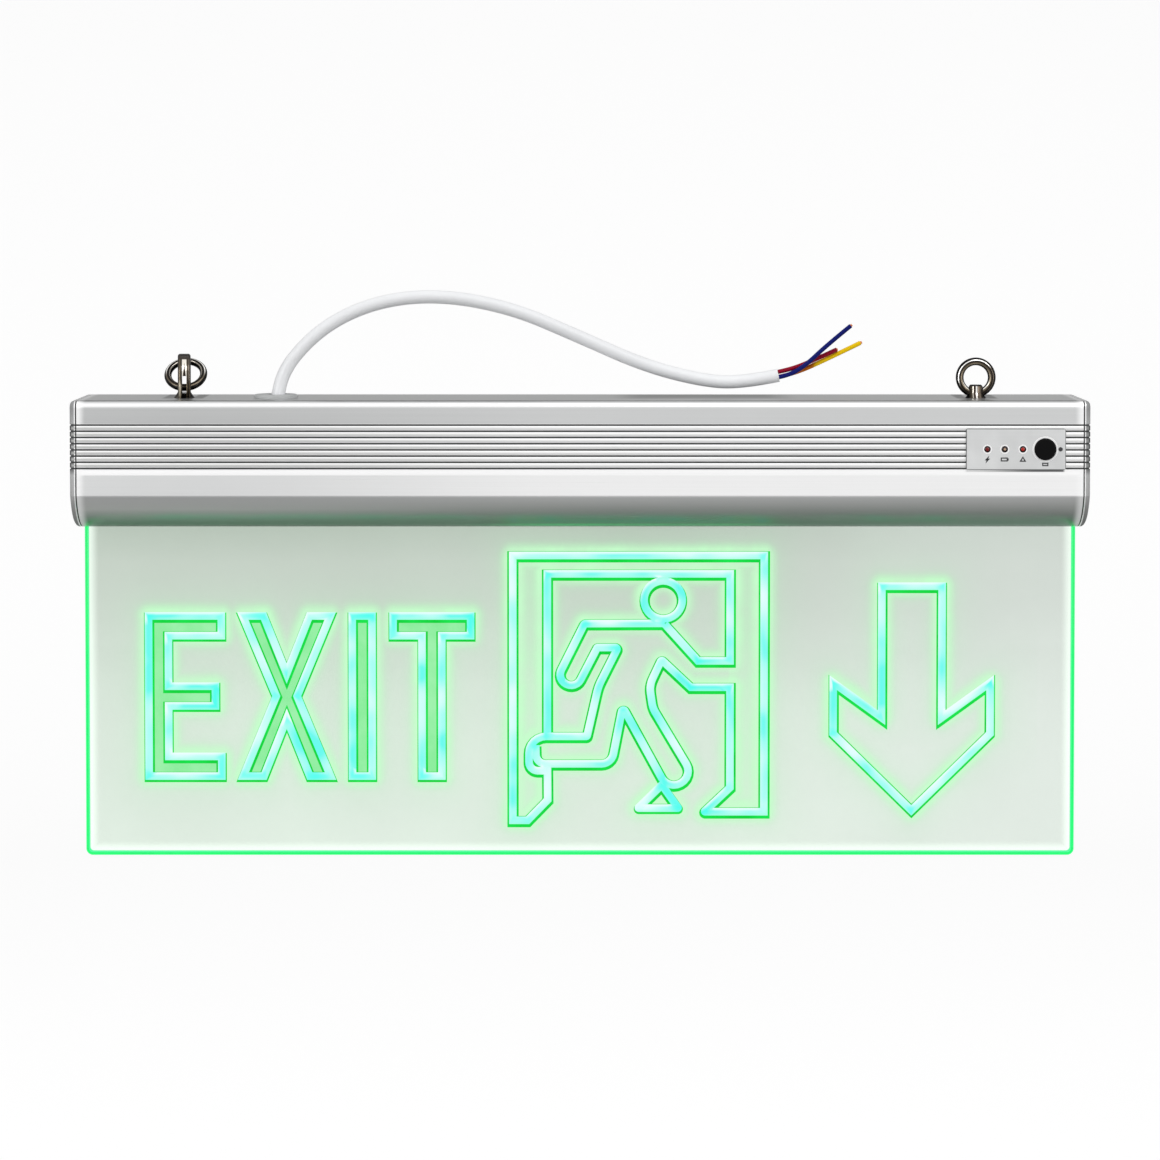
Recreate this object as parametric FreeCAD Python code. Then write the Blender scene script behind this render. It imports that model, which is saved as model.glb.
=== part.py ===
import FreeCAD, Part
import math
import os

from FreeCAD import Vector

# Hanging emergency exit light, edge-lit. Millimetres.
# X runs along the housing, Y from its front to its back, Z up.
# The origin is the middle of the housing's top face, midway between the eye bolts.

# Housing
overall_length = 360.0
cap_thickness = 2.4
cap_edge_radius = 1.5
cap_seam = 0.4
rounding_steps = 4
body_depth = 41.0
body_height = 45.7
wall = 1.6
top_radius = 2.5
inner_top_radius = 1.0
flat_side_height = 33.6
foot_width = 12.8
underside_radius = 19.0

# Grooves along the housing's front and back, and round its end caps
groove_count = 8
groove_pitch = 2.19
groove_width = 0.6
groove_depth = 0.5
first_groove_drop = 8.5
land_crown = 0.12

# Sign panel and its hanger bars
panel_thickness = 5.0
panel_bottom = 164.5
panel_top = 29.5
panel_corner_radius = 2.4
panel_edge_break = 0.3
panel_end_gap = 0.2
slot_clearance = 0.3
hanger_thickness = 3.3
hanger_height = 6.0
hanger_end_gap = 7.0
hanger_screw_count = 4
hanger_screw_radius = 1.5
hanger_head_radius = 2.7
hanger_screw_end_gap = 27.6

# Light strip
channel_wall = 1.2
channel_clearance = 0.7
strip_thickness = 1.2
strip_end_gap = 2.6
strip_play = 0.1
strip_ledge = 1.0
emitter_count = 30
emitter_length = 3.0
emitter_width = 1.6
emitter_height = 0.9
emitter_gap = 0.6

# Board rails
rail_reach = 2.0
rail_thickness = 1.2
rail_play = 0.1
board_thickness = 1.6
board_side_gap = 0.3
board_level = 23.7

# End cap screws and the ports that they turn into
port_radius = 3.0
port_hole_radius = 1.3
lower_port_angle = 33.0
cap_screw_radius = 1.25
cap_head_radius = 2.3
cap_screw_length = 10.0
thread_gap = 0.05
head_gap = 0.1

# Eye bolts: a round one on the right, a wide slotted one with a loose ring on the left
eye_end_gap = 38.2
eye_wire_radius = 1.4
eye_ring_radius = 5.75
eye_ring_height = 7.2
eye_collar_radius = 2.45
eye_collar_height = 4.6
eye_foot_radius = 3.8
eye_foot_waist = 3.0
eye_foot_height = 1.8
eye_collar_rounding = 0.5
eye_shank_radius = 2.0
eye_shank_length = 7.0
wide_eye_radius = 6.85
wide_eye_height = 7.45
wide_eye_width = 4.6
wide_eye_rounding = 0.9
eye_slot_width = 1.5
eye_slot_top = 8.1
wide_eye_turn = 6.9
nut_across_flats = 7.0
nut_height = 3.2
hanging_ring_radius = 6.4
hanging_ring_wire = 1.3
hanging_ring_gap = 0.3
hanging_ring_lean = 46.0

# Cable gland and cable
cable_end_gap = 68.6
cable_diameter = 4.8
cable_gap = 0.3
gland_disc_radius = 7.9
gland_disc_height = 1.2
gland_disc_rounding = 0.5
gland_neck_radius = 5.6
gland_neck_length = 6.5
gland_nut_flats = 15.0
gland_nut_height = 3.2
core_diameter = 1.6
core_ring = 1.25
core_straight = 4.2
core_gap = 0.05

# Control plate, lamps and test button
plate_end_gap = 6.5
plate_drop = 16.95
plate_length = 35.1
plate_height = 14.5
plate_thickness = 0.8
plate_corner_radius = 0.7
window_length = 30.0
window_height = 10.6
lamp_hole_radius = 1.45
lamp_radius = 1.2
lamp_flange_radius = 1.7
lamp_flange_height = 0.6
lamp_body_length = 3.2
lamp_proud = 0.35
lamp_lead_width = 0.4
lamp_lead_spread = 1.27
lamp_offsets = (-10.1, -4.0, 2.4)
button_offset = 10.3
button_radius = 3.85
button_gap = 0.2
button_proud = 1.1
button_edge_radius = 0.5
button_flange_radius = 4.35
button_flange_height = 0.6
button_stem_radius = 1.5
button_rest_gap = 0.05
plate_screw_offset = 15.65
plate_screw_radius = 0.45
plate_screw_head_radius = 0.75
plate_screw_head_height = 0.25
plate_screw_length = 2.0
indicator_board_depth = 7.5
indicator_board_thickness = 1.2
indicator_board_length = 30.6
indicator_board_height = 10.2
post_radius = 1.0
post_offsets = ((-13.4, 0.0), (5.0, 4.0))
switch_size = 6.0
switch_height = 3.0
plunger_radius = 1.65
plunger_gap = 0.1
plunger_length = 2.3
plunger_bore = 2.2
plunger_proud = 1.2

# Battery pack
cell_count = 3
cell_radius = 7.0
cell_length = 48.5
cell_tip_radius = 2.6
cell_tip_length = 1.2
cell_gap = 0.3
battery_end_gap = 2.1
battery_wall_gap = 2.2
cradle_height = 5.0
cradle_thickness = 3.0
cradle_bed = 0.8
clip_thickness = 0.8
clip_width = 8.0
tray_margin = 1.6

# Driver board
driver_gap = 7.85
driver_length = 112.0
driver_past_cable = 27.0
terminal_length = 17.0
terminal_width = 11.0
terminal_height = 8.5
terminal_hole_radius = 1.1
terminal_pitch = 5.0
terminal_gap = 2.0
terminal_hole_depth = 5.0
transformer_offset = 18.0
transformer_length = 24.0
transformer_width = 20.0
transformer_height = 13.0
transformer_leg = 4.0
winding_gap = 0.2
capacitor_radius = 4.0
capacitor_height = 11.0
capacitor_rounding = 0.4
capacitor_offsets = ((42.0, -10.0), (42.0, 2.0), (-10.0, -11.0))
chip_offsets = ((-4.0, 8.0), (34.0, 12.0), (8.0, -14.0))
chip_size = (7.0, 4.0, 1.6)

# Values that follow from the driving sizes
body_length = overall_length - 2 * cap_thickness
half_length = body_length / 2
half_depth = body_depth / 2
half_foot = foot_width / 2
inner_half = half_depth - wall
floor_level = -(body_height - wall)
half_slot = panel_thickness / 2 + slot_clearance
channel_half = panel_thickness / 2 + hanger_thickness + channel_clearance
strip_bottom = -panel_top + emitter_gap + emitter_height
strip_top = strip_bottom + strip_thickness
board_bottom = -board_level
board_top = board_bottom + board_thickness
board_half_width = inner_half - board_side_gap
front_face = -half_depth
plate_front = front_face - plate_thickness
indicator_front = front_face + indicator_board_depth
gland_bore_radius = cable_diameter / 2 + cable_gap
cable_x = cable_end_gap - half_length
eye_spacing = overall_length - 2 * eye_end_gap
plate_x = half_length - plate_end_gap - plate_length / 2
hanger_screw_spread = body_length - 2 * hanger_screw_end_gap
battery_length = cell_count * (cell_length + cell_tip_length)
battery_end = plate_x - indicator_board_length / 2 - battery_end_gap - tray_margin
battery_start = battery_end - battery_length
battery_y = inner_half - cell_radius - cell_gap - clip_thickness - battery_wall_gap
driver_limit = battery_start - tray_margin - driver_gap
driver_end = min(cable_x - driver_past_cable + driver_length, driver_limit)
driver_x = driver_end - driver_length / 2
transformer_limit = cable_x + terminal_length / 2 + terminal_gap + transformer_length / 2
transformer_x = max(driver_x + transformer_offset, transformer_limit)
same_place = 0.001


def block(x, y, z):
    """Box between the low and the high value of each pair."""
    return Part.makeBox(x[1] - x[0], y[1] - y[0], z[1] - z[0], Vector(x[0], y[0], z[0]))


def rod(start, end, radius):
    axis = end.sub(start)
    return Part.makeCylinder(radius, axis.Length, start, axis)


def centred(middle, size):
    return (middle - size / 2, middle + size / 2)


def fused(shapes):
    return shapes[0].multiFuse(shapes[1:]).removeSplitter()


def edge(points):
    """Straight edge through two (depth, height) points of the section, or arc through three."""
    places = [Vector(0, y, z) for y, z in points]
    curve = Part.LineSegment(*places) if len(places) == 2 else Part.Arc(*places)
    return curve.toShape()


def mirrored_face(half_outline):
    """Face inside a half outline and its mirror image in the middle plane."""
    other = []
    for points in reversed(half_outline):
        other.append([(-y, z) for y, z in reversed(points)])
    return Part.Face(Part.Wire([edge(points) for points in half_outline + other]))


def turned(profile, place, axis=Vector(0, 0, 1)):
    """Full turn of a closed profile of (radius, height) corners about an axis at a place."""
    corners = [Vector(radius, 0, height) for radius, height in profile]
    face = Part.Face(Part.makePolygon(corners + corners[:1]))
    solid = face.revolve(Vector(0, 0, 0), Vector(0, 0, 1), 360)
    solid.Placement = FreeCAD.Placement(place, FreeCAD.Rotation(Vector(0, 0, 1), axis))
    return solid


def hexagon(across_flats, height, bore_radius, place):
    """Six-sided nut with its top face at the place."""
    corner = across_flats / math.sqrt(3)
    points = []
    for step in range(7):
        angle = math.radians(60 * step)
        points.append(Vector(corner * math.cos(angle), corner * math.sin(angle), -height))
    nut = Part.Face(Part.makePolygon(points)).extrude(Vector(0, 0, height))
    bore = rod(Vector(0, 0, -height), Vector(0, 0, 0), bore_radius)
    nut = nut.cut(bore)
    nut.translate(place)
    return nut


def underside_centre():
    """Centre of the arc between the flat side's end and the foot."""
    side = Vector(0, half_depth, -flat_side_height)
    foot = Vector(0, half_foot, -body_height)
    chord = foot.sub(side)
    rise = math.sqrt(underside_radius ** 2 - chord.Length ** 2 / 4)
    inward = Vector(0, chord.z, -chord.y).normalize()
    middle = side.add(foot).multiply(0.5)
    return middle.add(inward.multiply(rise))


def arc_height(y, radius):
    """Height at depth y of a circle about the underside's centre."""
    centre = underside_centre()
    return centre.z - math.sqrt(radius ** 2 - (y - centre.y) ** 2)


def underside_arc(start, end, radius):
    """Arc about the underside's centre between two (depth, height) places."""
    centre = underside_centre()
    middle = Vector(0, (start[0] + end[0]) / 2, (start[1] + end[1]) / 2).sub(centre)
    bulge = centre.add(middle.normalize().multiply(radius))
    return [start, (bulge.y, bulge.z), end]


def corner_arc(y, z, radius):
    """Quarter round whose square corner is at (y, z), from the top to the side."""
    cut_back = radius * (1 - math.sqrt(0.5))
    return [(y - radius, z), (y - cut_back, z - cut_back), (y, z - radius)]


def groove_level(number):
    return -(first_groove_drop + number * groove_pitch)


def grooved_side():
    """Ribbed side, from the top rounding to the flat side's end."""
    outline = []
    shoulder = half_depth - land_crown
    bottom = half_depth - groove_depth
    last = (half_depth, -top_radius)
    for number in range(groove_count):
        level = groove_level(number)
        upper = level + groove_width / 2
        lower = level - groove_width / 2
        floor_upper = (bottom, level + groove_width / 4)
        floor_lower = (bottom, level - groove_width / 4)
        first = number == 0
        final = number == groove_count - 1
        rim = (half_depth if first else shoulder, upper)
        crown = (half_depth, (last[1] + upper) / 2)
        outline.append([last, rim] if first else [last, crown, rim])
        outline.append([rim, floor_upper])
        outline.append([floor_upper, floor_lower])
        last = (half_depth if final else shoulder, lower)
        outline.append([floor_lower, last])
    outline.append([last, (half_depth, -flat_side_height)])
    return outline


def grooved_face():
    """Face with the housing's outline and the grooves of its sides."""
    side_end = (half_depth, -flat_side_height)
    foot_start = (half_foot, -body_height)
    outline = [[(0, 0), (half_depth - top_radius, 0)]]
    outline.append(corner_arc(half_depth, 0, top_radius))
    outline.extend(grooved_side())
    outline.append(underside_arc(side_end, foot_start, underside_radius))
    outline.append([foot_start, (0, -body_height)])
    return mirrored_face(outline)


def plain_face(inset, corner_radius):
    """Face with the housing's outline moved inwards by an inset, with plain sides."""
    radius = underside_radius - inset
    centre = underside_centre()
    side = half_depth - inset
    level = inset - body_height
    side_end = (side, arc_height(side, radius))
    foot_y = centre.y + math.sqrt(radius ** 2 - (level - centre.z) ** 2)
    outline = [[(0, -inset), (side - corner_radius, -inset)]]
    outline.append(corner_arc(side, -inset, corner_radius))
    outline.append([(side, -inset - corner_radius), side_end])
    outline.append(underside_arc(side_end, (foot_y, level), radius))
    outline.append([(foot_y, level), (0, level)])
    return mirrored_face(outline)


def section_bar(y, z):
    """Face of a rectangular rib in the section, on both sides of the middle."""
    faces = []
    for side in (-1, 1):
        near, far = sorted((side * y[0], side * y[1]))
        corners = [Vector(0, near, z[0]), Vector(0, far, z[0]), Vector(0, far, z[1]), Vector(0, near, z[1])]
        faces.append(Part.Face(Part.makePolygon(corners + corners[:1])))
    return faces


def port_places():
    """(depth, height) of the four screw ports, two at the top and two over the underside."""
    embed = wall / 2
    reach = underside_radius - embed - port_radius
    angle = math.radians(lower_port_angle)
    centre = underside_centre()
    upper = (inner_half + embed - port_radius, -(embed + port_radius))
    lower = (centre.y + reach * math.cos(angle), centre.z - reach * math.sin(angle))
    places = []
    for y, z in (upper, lower):
        places.append((y, z))
        places.append((-y, z))
    return places


def disc_face(y, z, radius):
    circle = Part.Circle(Vector(0, y, z), Vector(1, 0, 0), radius)
    return Part.Face(Part.Wire(circle.toShape()))


def plain_extrusion():
    """The profile before its cross holes, with its rails, light channel and screw ports."""
    along = Vector(body_length, 0, 0)
    body = grooved_face().extrude(along)
    body = body.cut(plain_face(wall, inner_top_radius).extrude(along))
    embedded = inner_half + wall / 2
    rail = (inner_half - rail_reach, embedded)
    upper_rail = board_top + rail_play
    channel = (channel_half, channel_half + channel_wall)
    ledge = (channel_half - strip_ledge, channel_half + channel_wall / 2)
    hook = strip_top + strip_play
    ribs = section_bar(rail, (board_bottom - rail_thickness, board_bottom))
    ribs += section_bar(rail, (upper_rail, upper_rail + rail_thickness))
    ribs += section_bar(channel, (floor_level - wall / 2, hook + channel_wall))
    ribs += section_bar(ledge, (strip_bottom - channel_wall, strip_bottom))
    ribs += section_bar(ledge, (hook, hook + channel_wall))
    ribs += [disc_face(y, z, port_radius) for y, z in port_places()]
    body = body.multiFuse([rib.extrude(along) for rib in ribs]).removeSplitter()
    holes = [disc_face(y, z, port_hole_radius) for y, z in port_places()]
    slot_z = (-body_height - wall, floor_level + wall / 2)
    holes.append(section_bar((-half_slot, half_slot), slot_z)[0])
    return body.cut(Part.makeCompound([hole.extrude(along) for hole in holes]))


def eye_x(side):
    return side * eye_spacing / 2


def housing_extrusion():
    """Ribbed aluminium profile, cut for the eye bolts, the gland and the control plate."""
    body = plain_extrusion()
    body.translate(Vector(-half_length, 0, 0))
    cuts = []
    for side in (-1, 1):
        low = Vector(eye_x(side), 0, -2 * wall)
        cuts.append(rod(low, Vector(eye_x(side), 0, wall), eye_shank_radius + head_gap))
    gland_low = Vector(cable_x, 0, -2 * wall)
    cuts.append(rod(gland_low, Vector(cable_x, 0, wall), gland_neck_radius + head_gap))
    window_y = (front_face - wall, -inner_half)
    window_z = centred(-plate_drop, window_height)
    cuts.append(block(centred(plate_x, window_length), window_y, window_z))
    screw_x = plate_x + plate_screw_offset
    screw_start = Vector(screw_x, front_face - wall, -plate_drop)
    screw_end = Vector(screw_x, -inner_half + wall, -plate_drop)
    cuts.append(rod(screw_start, screw_end, plate_screw_radius + thread_gap))
    return body.cut(Part.makeCompound(cuts))


def cap_screw(side, y, z, clearance):
    """Countersunk end cap screw, or its hole with a clearance all round."""
    face_x = side * (half_length + cap_thickness)
    cone_depth = cap_head_radius - cap_screw_radius
    head = cap_head_radius + clearance
    stem = cap_screw_radius + clearance
    profile = [(0, 0), (head, 0), (stem, -cone_depth), (stem, -cap_screw_length), (0, -cap_screw_length)]
    return turned(profile, Vector(face_x, y, z), Vector(side, 0, 0))


def end_cap(side):
    """Cap with the housing's outline, its grooves and four countersunk holes."""
    cap = rounded_plate()
    cuts = []
    for number in range(groove_count):
        level = centred(groove_level(number), groove_width)
        for flank in (-1, 1):
            near, far = sorted((flank * (half_depth - groove_depth), flank * (half_depth + wall)))
            cuts.append(block((-wall, cap_thickness + wall), (near, far), level))
        outer_x = (cap_thickness - groove_depth, cap_thickness + wall)
        cuts.append(block(outer_x, centred(0, body_depth + 2 * wall), level))
    cap = cap.cut(cuts[0].multiFuse(cuts[1:]))
    if side < 0:
        cap = cap.mirror(Vector(0, 0, 0), Vector(1, 0, 0))
    cap.translate(Vector(side * half_length, 0, 0))
    holes = [cap_screw(side, y, z, head_gap) for y, z in port_places()]
    return cap.cut(Part.makeCompound(holes))


def rounded_plate():
    """Plate with the housing's outline, a seam at its inner edge and a rounding at its outer edge."""
    rims = [plain_face(cap_seam, top_radius - cap_seam).OuterWire]
    rims.append(plain_face(0, top_radius).OuterWire.translated(Vector(cap_seam, 0, 0)))
    for step in range(rounding_steps + 1):
        angle = math.pi / 2 * step / rounding_steps
        inset = cap_edge_radius * (1 - math.cos(angle))
        rise = cap_thickness - cap_edge_radius * (1 - math.sin(angle))
        rim = plain_face(inset, top_radius - inset).OuterWire
        rims.append(rim.translated(Vector(rise, 0, 0)))
    return Part.makeLoft(rims, True, True)


def cap_screws():
    screws = []
    for side in (-1, 1):
        screws += [cap_screw(side, y, z, 0) for y, z in port_places()]
    return Part.makeCompound(screws)


def hanger_level():
    """Height of the hanger bars' middle."""
    return floor_level + hanger_height / 2


def hanger_screw_places():
    step = hanger_screw_spread / (hanger_screw_count - 1)
    return [step * number - hanger_screw_spread / 2 for number in range(hanger_screw_count)]


def sign_panel():
    """Clear panel with two rounded corners, broken edges and holes for its hanger screws."""
    half_width = half_length - panel_end_gap
    panel_y = centred(0, panel_thickness)
    panel = block((-half_width, half_width), panel_y, (-panel_bottom, -panel_top))
    corners = [e for e in panel.Edges if is_lower_corner(e)]
    panel = panel.makeFillet(panel_corner_radius, corners)
    faces = [f for f in panel.Faces if abs(abs(f.CenterOfMass.y) - panel_thickness / 2) < same_place]
    panel = panel.makeChamfer(panel_edge_break, faces[0].Edges + faces[1].Edges)
    holes = [hanger_hole(x, panel_thickness) for x in hanger_screw_places()]
    return panel.cut(Part.makeCompound(holes))


def is_lower_corner(edge):
    along_depth = abs(edge.Vertexes[0].Z - edge.Vertexes[-1].Z) < same_place
    along_depth = along_depth and abs(edge.Vertexes[0].X - edge.Vertexes[-1].X) < same_place
    return along_depth and abs(edge.Vertexes[0].Z + panel_bottom) < same_place


def hanger_hole(x, reach):
    start = Vector(x, -reach, hanger_level())
    return rod(start, Vector(x, reach, hanger_level()), hanger_screw_radius + head_gap)


def hanger_screw(x, grow):
    """Countersunk screw through both bars, its head flush in the front one."""
    head_y = -(panel_thickness / 2 + hanger_thickness)
    cone = hanger_head_radius - hanger_screw_radius
    length = panel_thickness + 2 * hanger_thickness
    profile = [(0, 0), (hanger_head_radius + grow, 0), (hanger_screw_radius + grow, -cone)]
    profile += [(hanger_screw_radius + grow, -length), (0, -length)]
    return turned(profile, Vector(x, head_y, hanger_level()), Vector(0, -1, 0))


def hanger_bar(side):
    """Bar on one side of the panel's top edge, which rests on the housing's lip."""
    near, far = sorted((side * panel_thickness / 2, side * (panel_thickness / 2 + hanger_thickness)))
    half_width = half_length - hanger_end_gap
    bar = block((-half_width, half_width), (near, far), (floor_level, floor_level + hanger_height))
    holes = [hanger_screw(x, thread_gap) for x in hanger_screw_places()]
    return bar.cut(Part.makeCompound(holes))


def hanger_screws():
    return Part.makeCompound([hanger_screw(x, 0) for x in hanger_screw_places()])


def light_strip():
    half_width = half_length - strip_end_gap
    strip_y = centred(0, 2 * (channel_half - strip_play))
    return block((-half_width, half_width), strip_y, (strip_bottom, strip_top))


def light_emitters():
    """Emitters in a row under the strip, close above the panel's top edge."""
    step = (body_length - 2 * strip_end_gap) / emitter_count
    emitters = []
    for number in range(emitter_count):
        x = step * (number + 0.5) - (half_length - strip_end_gap)
        low = strip_bottom - emitter_height
        size_z = (low, strip_bottom)
        emitters.append(block(centred(x, emitter_length), centred(0, emitter_width), size_z))
    return Part.makeCompound(emitters)


def eye_foot():
    """Profile of an eye bolt's shank and flared foot, up to the foot's top."""
    profile = [(0, -eye_shank_length), (eye_shank_radius, -eye_shank_length), (eye_shank_radius, 0)]
    profile += [(eye_foot_radius, 0), (eye_foot_waist, eye_foot_height / 2)]
    profile.append((eye_collar_radius, eye_foot_height))
    return profile


def right_eye_bolt():
    """Eye bolt with a round ring, face on, that grows out of a collar."""
    place = Vector(eye_x(1), 0, 0)
    profile = eye_foot() + [(eye_collar_radius, eye_collar_height - eye_collar_rounding)]
    profile += [(eye_collar_radius - eye_collar_rounding, eye_collar_height), (0, eye_collar_height)]
    centre = place.add(Vector(0, 0, eye_ring_height))
    ring = Part.makeTorus(eye_ring_radius, eye_wire_radius, centre, Vector(0, 1, 0))
    return fused([turned(profile, place), ring])


def left_eye_bolt():
    """Wide eye, edge-on, slotted from its foot to its middle, front and back."""
    place = Vector(eye_x(-1), 0, 0)
    inner = wide_eye_radius - eye_wire_radius
    outer = wide_eye_radius + eye_wire_radius
    half = wide_eye_width / 2
    profile = [(inner, -half), (outer, -half), (outer, half), (inner, half)]
    centre = place.add(Vector(0, 0, wide_eye_height))
    ring = turned(profile, centre, Vector(1, 0, 0))
    rims = [e for e in ring.Edges if isinstance(e.Curve, Part.Circle)]
    ring = ring.makeFillet(wide_eye_rounding, rims)
    across = centred(place.x, 2 * wide_eye_width)
    ring = ring.cut(block(across, (-outer, outer), (-outer, 0)))
    eye = fused([turned(eye_foot() + [(0, eye_foot_height)], place), ring])
    slot_z = (eye_foot_height, eye_slot_top)
    eye = eye.cut(block(centred(place.x, eye_slot_width), (-2 * outer, 2 * outer), slot_z))
    eye.rotate(place, Vector(0, 0, 1), wide_eye_turn)
    return eye


def eye_nuts():
    nuts = []
    for side in (-1, 1):
        place = Vector(eye_x(side), 0, -wall)
        nuts.append(hexagon(nut_across_flats, nut_height, eye_shank_radius + thread_gap, place))
    return Part.makeCompound(nuts)


def ring_pivot():
    """Middle of the wire of the loose ring where it rests in the left eye."""
    hole_bottom = wide_eye_height - wide_eye_radius + eye_wire_radius
    rest = hole_bottom + hanging_ring_gap + hanging_ring_wire
    return Vector(eye_x(-1), 0, rest)


def hanging_ring():
    """Loose ring through the left eye, leaning back."""
    lean = math.radians(hanging_ring_lean)
    up = Vector(0, math.sin(lean), math.cos(lean))
    axis = Vector(0, math.cos(lean), -math.sin(lean))
    centre = ring_pivot().add(up.multiply(hanging_ring_radius))
    return Part.makeTorus(hanging_ring_radius, hanging_ring_wire, centre, axis)


def cable_gland():
    """Round bush: a disc on the housing's top and a neck through it."""
    bore = gland_bore_radius
    disc = gland_disc_radius
    profile = [(bore, -gland_neck_length), (gland_neck_radius, -gland_neck_length)]
    profile += [(gland_neck_radius, 0), (disc, 0), (disc, gland_disc_height - gland_disc_rounding)]
    profile += [(disc - gland_disc_rounding, gland_disc_height), (bore, gland_disc_height)]
    return turned(profile, Vector(cable_x, 0, 0))


def gland_nut():
    place = Vector(cable_x, 0, -wall)
    return hexagon(gland_nut_flats, gland_nut_height, gland_neck_radius + thread_gap, place)


# Cable route, chosen by eye: up out of the gland, over in a long arch and down to the housing's top
cable_route = [
    (cable_x, 0.0, -9.0),
    (cable_x, 0.0, 3.5),
    (cable_x + 5.4, 0.4, 14.8),
    (cable_x + 19.0, 1.2, 27.2),
    (cable_x + 37.0, 2.2, 35.6),
    (cable_x + 59.0, 3.0, 36.8),
    (cable_x + 85.0, 3.6, 32.0),
    (cable_x + 109.0, 4.6, 22.5),
    (cable_x + 133.0, 5.4, 9.3),
    (cable_x + 153.0, 6.6, 3.2),
    (cable_x + 167.0, 7.0, 2.62),
    (cable_x + 180.5, 6.4, 6.0),
]

# How far each core has run along X, Y and Z from its start, at each point after its straight
core_routes = {
    "blue_core": [(9.6, -0.8, 5.2), (17.0, -1.0, 12.2), (25.7, -0.8, 18.8)],
    "red_core": [(10.2, 0.3, 3.3), (20.7, 0.5, 8.3)],
    "yellow_core": [(12.6, 0.4, 4.6), (29.4, 0.9, 12.6)],
}


def tube_along(points, radius, name):
    """Tube of straight runs joined by tangent arcs, each as large as its two runs allow."""
    edges = []
    radii = []
    start = points[0]
    for index in range(1, len(points) - 1):
        before = points[index - 1].sub(points[index])
        after = points[index + 1].sub(points[index])
        turn = math.pi - before.getAngle(after)
        reach = 0.45 * min(before.Length, after.Length)
        bend = reach / math.tan(turn / 2)
        inward = Vector(before).normalize().add(Vector(after).normalize()).normalize()
        arc_start = points[index].add(Vector(before).normalize().multiply(reach))
        arc_end = points[index].add(Vector(after).normalize().multiply(reach))
        centre_gap = bend / math.cos(turn / 2)
        arc_middle = points[index].add(inward.multiply(centre_gap - bend))
        edges.append(Part.LineSegment(start, arc_start).toShape())
        edges.append(Part.Arc(arc_start, arc_middle, arc_end).toShape())
        radii.append(round(bend, 1))
        start = arc_end
    edges.append(Part.LineSegment(start, points[-1]).toShape())
    path = Part.Wire(edges)
    section = Part.Wire(Part.Circle(points[0], points[1].sub(points[0]), radius).toShape())
    tube = path.makePipeShell([section], True, True)
    expected = math.pi * radius ** 2 * path.Length
    print(name, "length", round(path.Length, 1), "volume ratio", round(tube.Volume / expected, 4))
    print(name, "radii", radii)
    return tube


def mains_cable():
    points = [Vector(*point) for point in cable_route]
    return tube_along(points, cable_diameter / 2, "mains_cable")


def cable_end_frame():
    """End of the sheath, the way it points, and the two directions across it."""
    end = Vector(*cable_route[-1])
    along = end.sub(Vector(*cable_route[-2])).normalize()
    across = along.cross(Vector(0, 0, 1)).normalize()
    upward = across.cross(along).normalize()
    return end, along, across, upward


def bare_core(name, number):
    """Core that leaves the sheath's end square to it."""
    end, along, across, upward = cable_end_frame()
    angle = math.radians(90 - 120 * number)
    offset = Vector(across).multiply(core_ring * math.cos(angle))
    offset = offset.add(Vector(upward).multiply(core_ring * math.sin(angle)))
    start = end.add(offset)
    points = [start, start.add(Vector(along).multiply(core_straight))]
    points += [start.add(Vector(*step)) for step in core_routes[name]]
    return tube_along(points, core_diameter / 2, name)


def inner_cores():
    """Three cores from the sheath's inner end down into the terminal block."""
    top = cable_route[0][2]
    terminal_top = board_top + terminal_height
    cores = []
    for number in (-1, 0, 1):
        start = Vector(cable_x + number * (core_diameter + core_gap), 0, top)
        end = Vector(start.x, 0, terminal_top - terminal_hole_depth)
        cores.append(rod(start, end, core_diameter / 2))
    return Part.makeCompound(cores)


def terminal_block():
    """Block with a wide entry for the cores and a screw well over each."""
    body = block(
        centred(cable_x, terminal_length),
        centred(0, terminal_width),
        (board_top, board_top + terminal_height),
    )
    top = board_top + terminal_height
    entry_x = centred(cable_x, 3 * core_diameter + 6 * core_gap + 2 * core_gap)
    entry_y = centred(0, core_diameter + 4 * core_gap)
    cuts = [block(entry_x, entry_y, (top - terminal_hole_depth, top + wall))]
    for number in (-1, 0, 1):
        x = cable_x + number * terminal_pitch
        for side in (-1, 1):
            y = side * (terminal_width / 2 - 2 * terminal_hole_radius)
            well = Vector(x, y, top - terminal_hole_depth)
            cuts.append(rod(well, Vector(x, y, top + wall), terminal_hole_radius))
    return body.cut(cuts[0].multiFuse(cuts[1:]))


def control_plate():
    """Plate on the housing's front, with lamp holes, the button's hole and two posts behind."""
    plate_z = centred(-plate_drop, plate_height)
    plate = block(centred(plate_x, plate_length), (plate_front, front_face), plate_z)
    corners = [e for e in plate.Edges if is_along_depth(e)]
    plate = plate.makeFillet(plate_corner_radius, corners)
    posts = []
    for x, z in post_offsets:
        base = Vector(plate_x + x, front_face, -plate_drop + z)
        posts.append(rod(base, Vector(base.x, indicator_front, base.z), post_radius))
    plate = fused([plate] + posts)
    cuts = [plate_hole(x, lamp_hole_radius) for x in lamp_offsets]
    cuts.append(plate_hole(button_offset, button_radius + button_gap))
    cuts.append(plate_hole(plate_screw_offset, plate_screw_radius + thread_gap))
    return plate.cut(Part.makeCompound(cuts))


def is_along_depth(edge):
    first, last = edge.Vertexes[0], edge.Vertexes[-1]
    return abs(first.X - last.X) < same_place and abs(first.Z - last.Z) < same_place


def plate_hole(offset, radius):
    start = Vector(plate_x + offset, plate_front - wall, -plate_drop)
    return rod(start, Vector(start.x, front_face + wall, start.z), radius)


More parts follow.
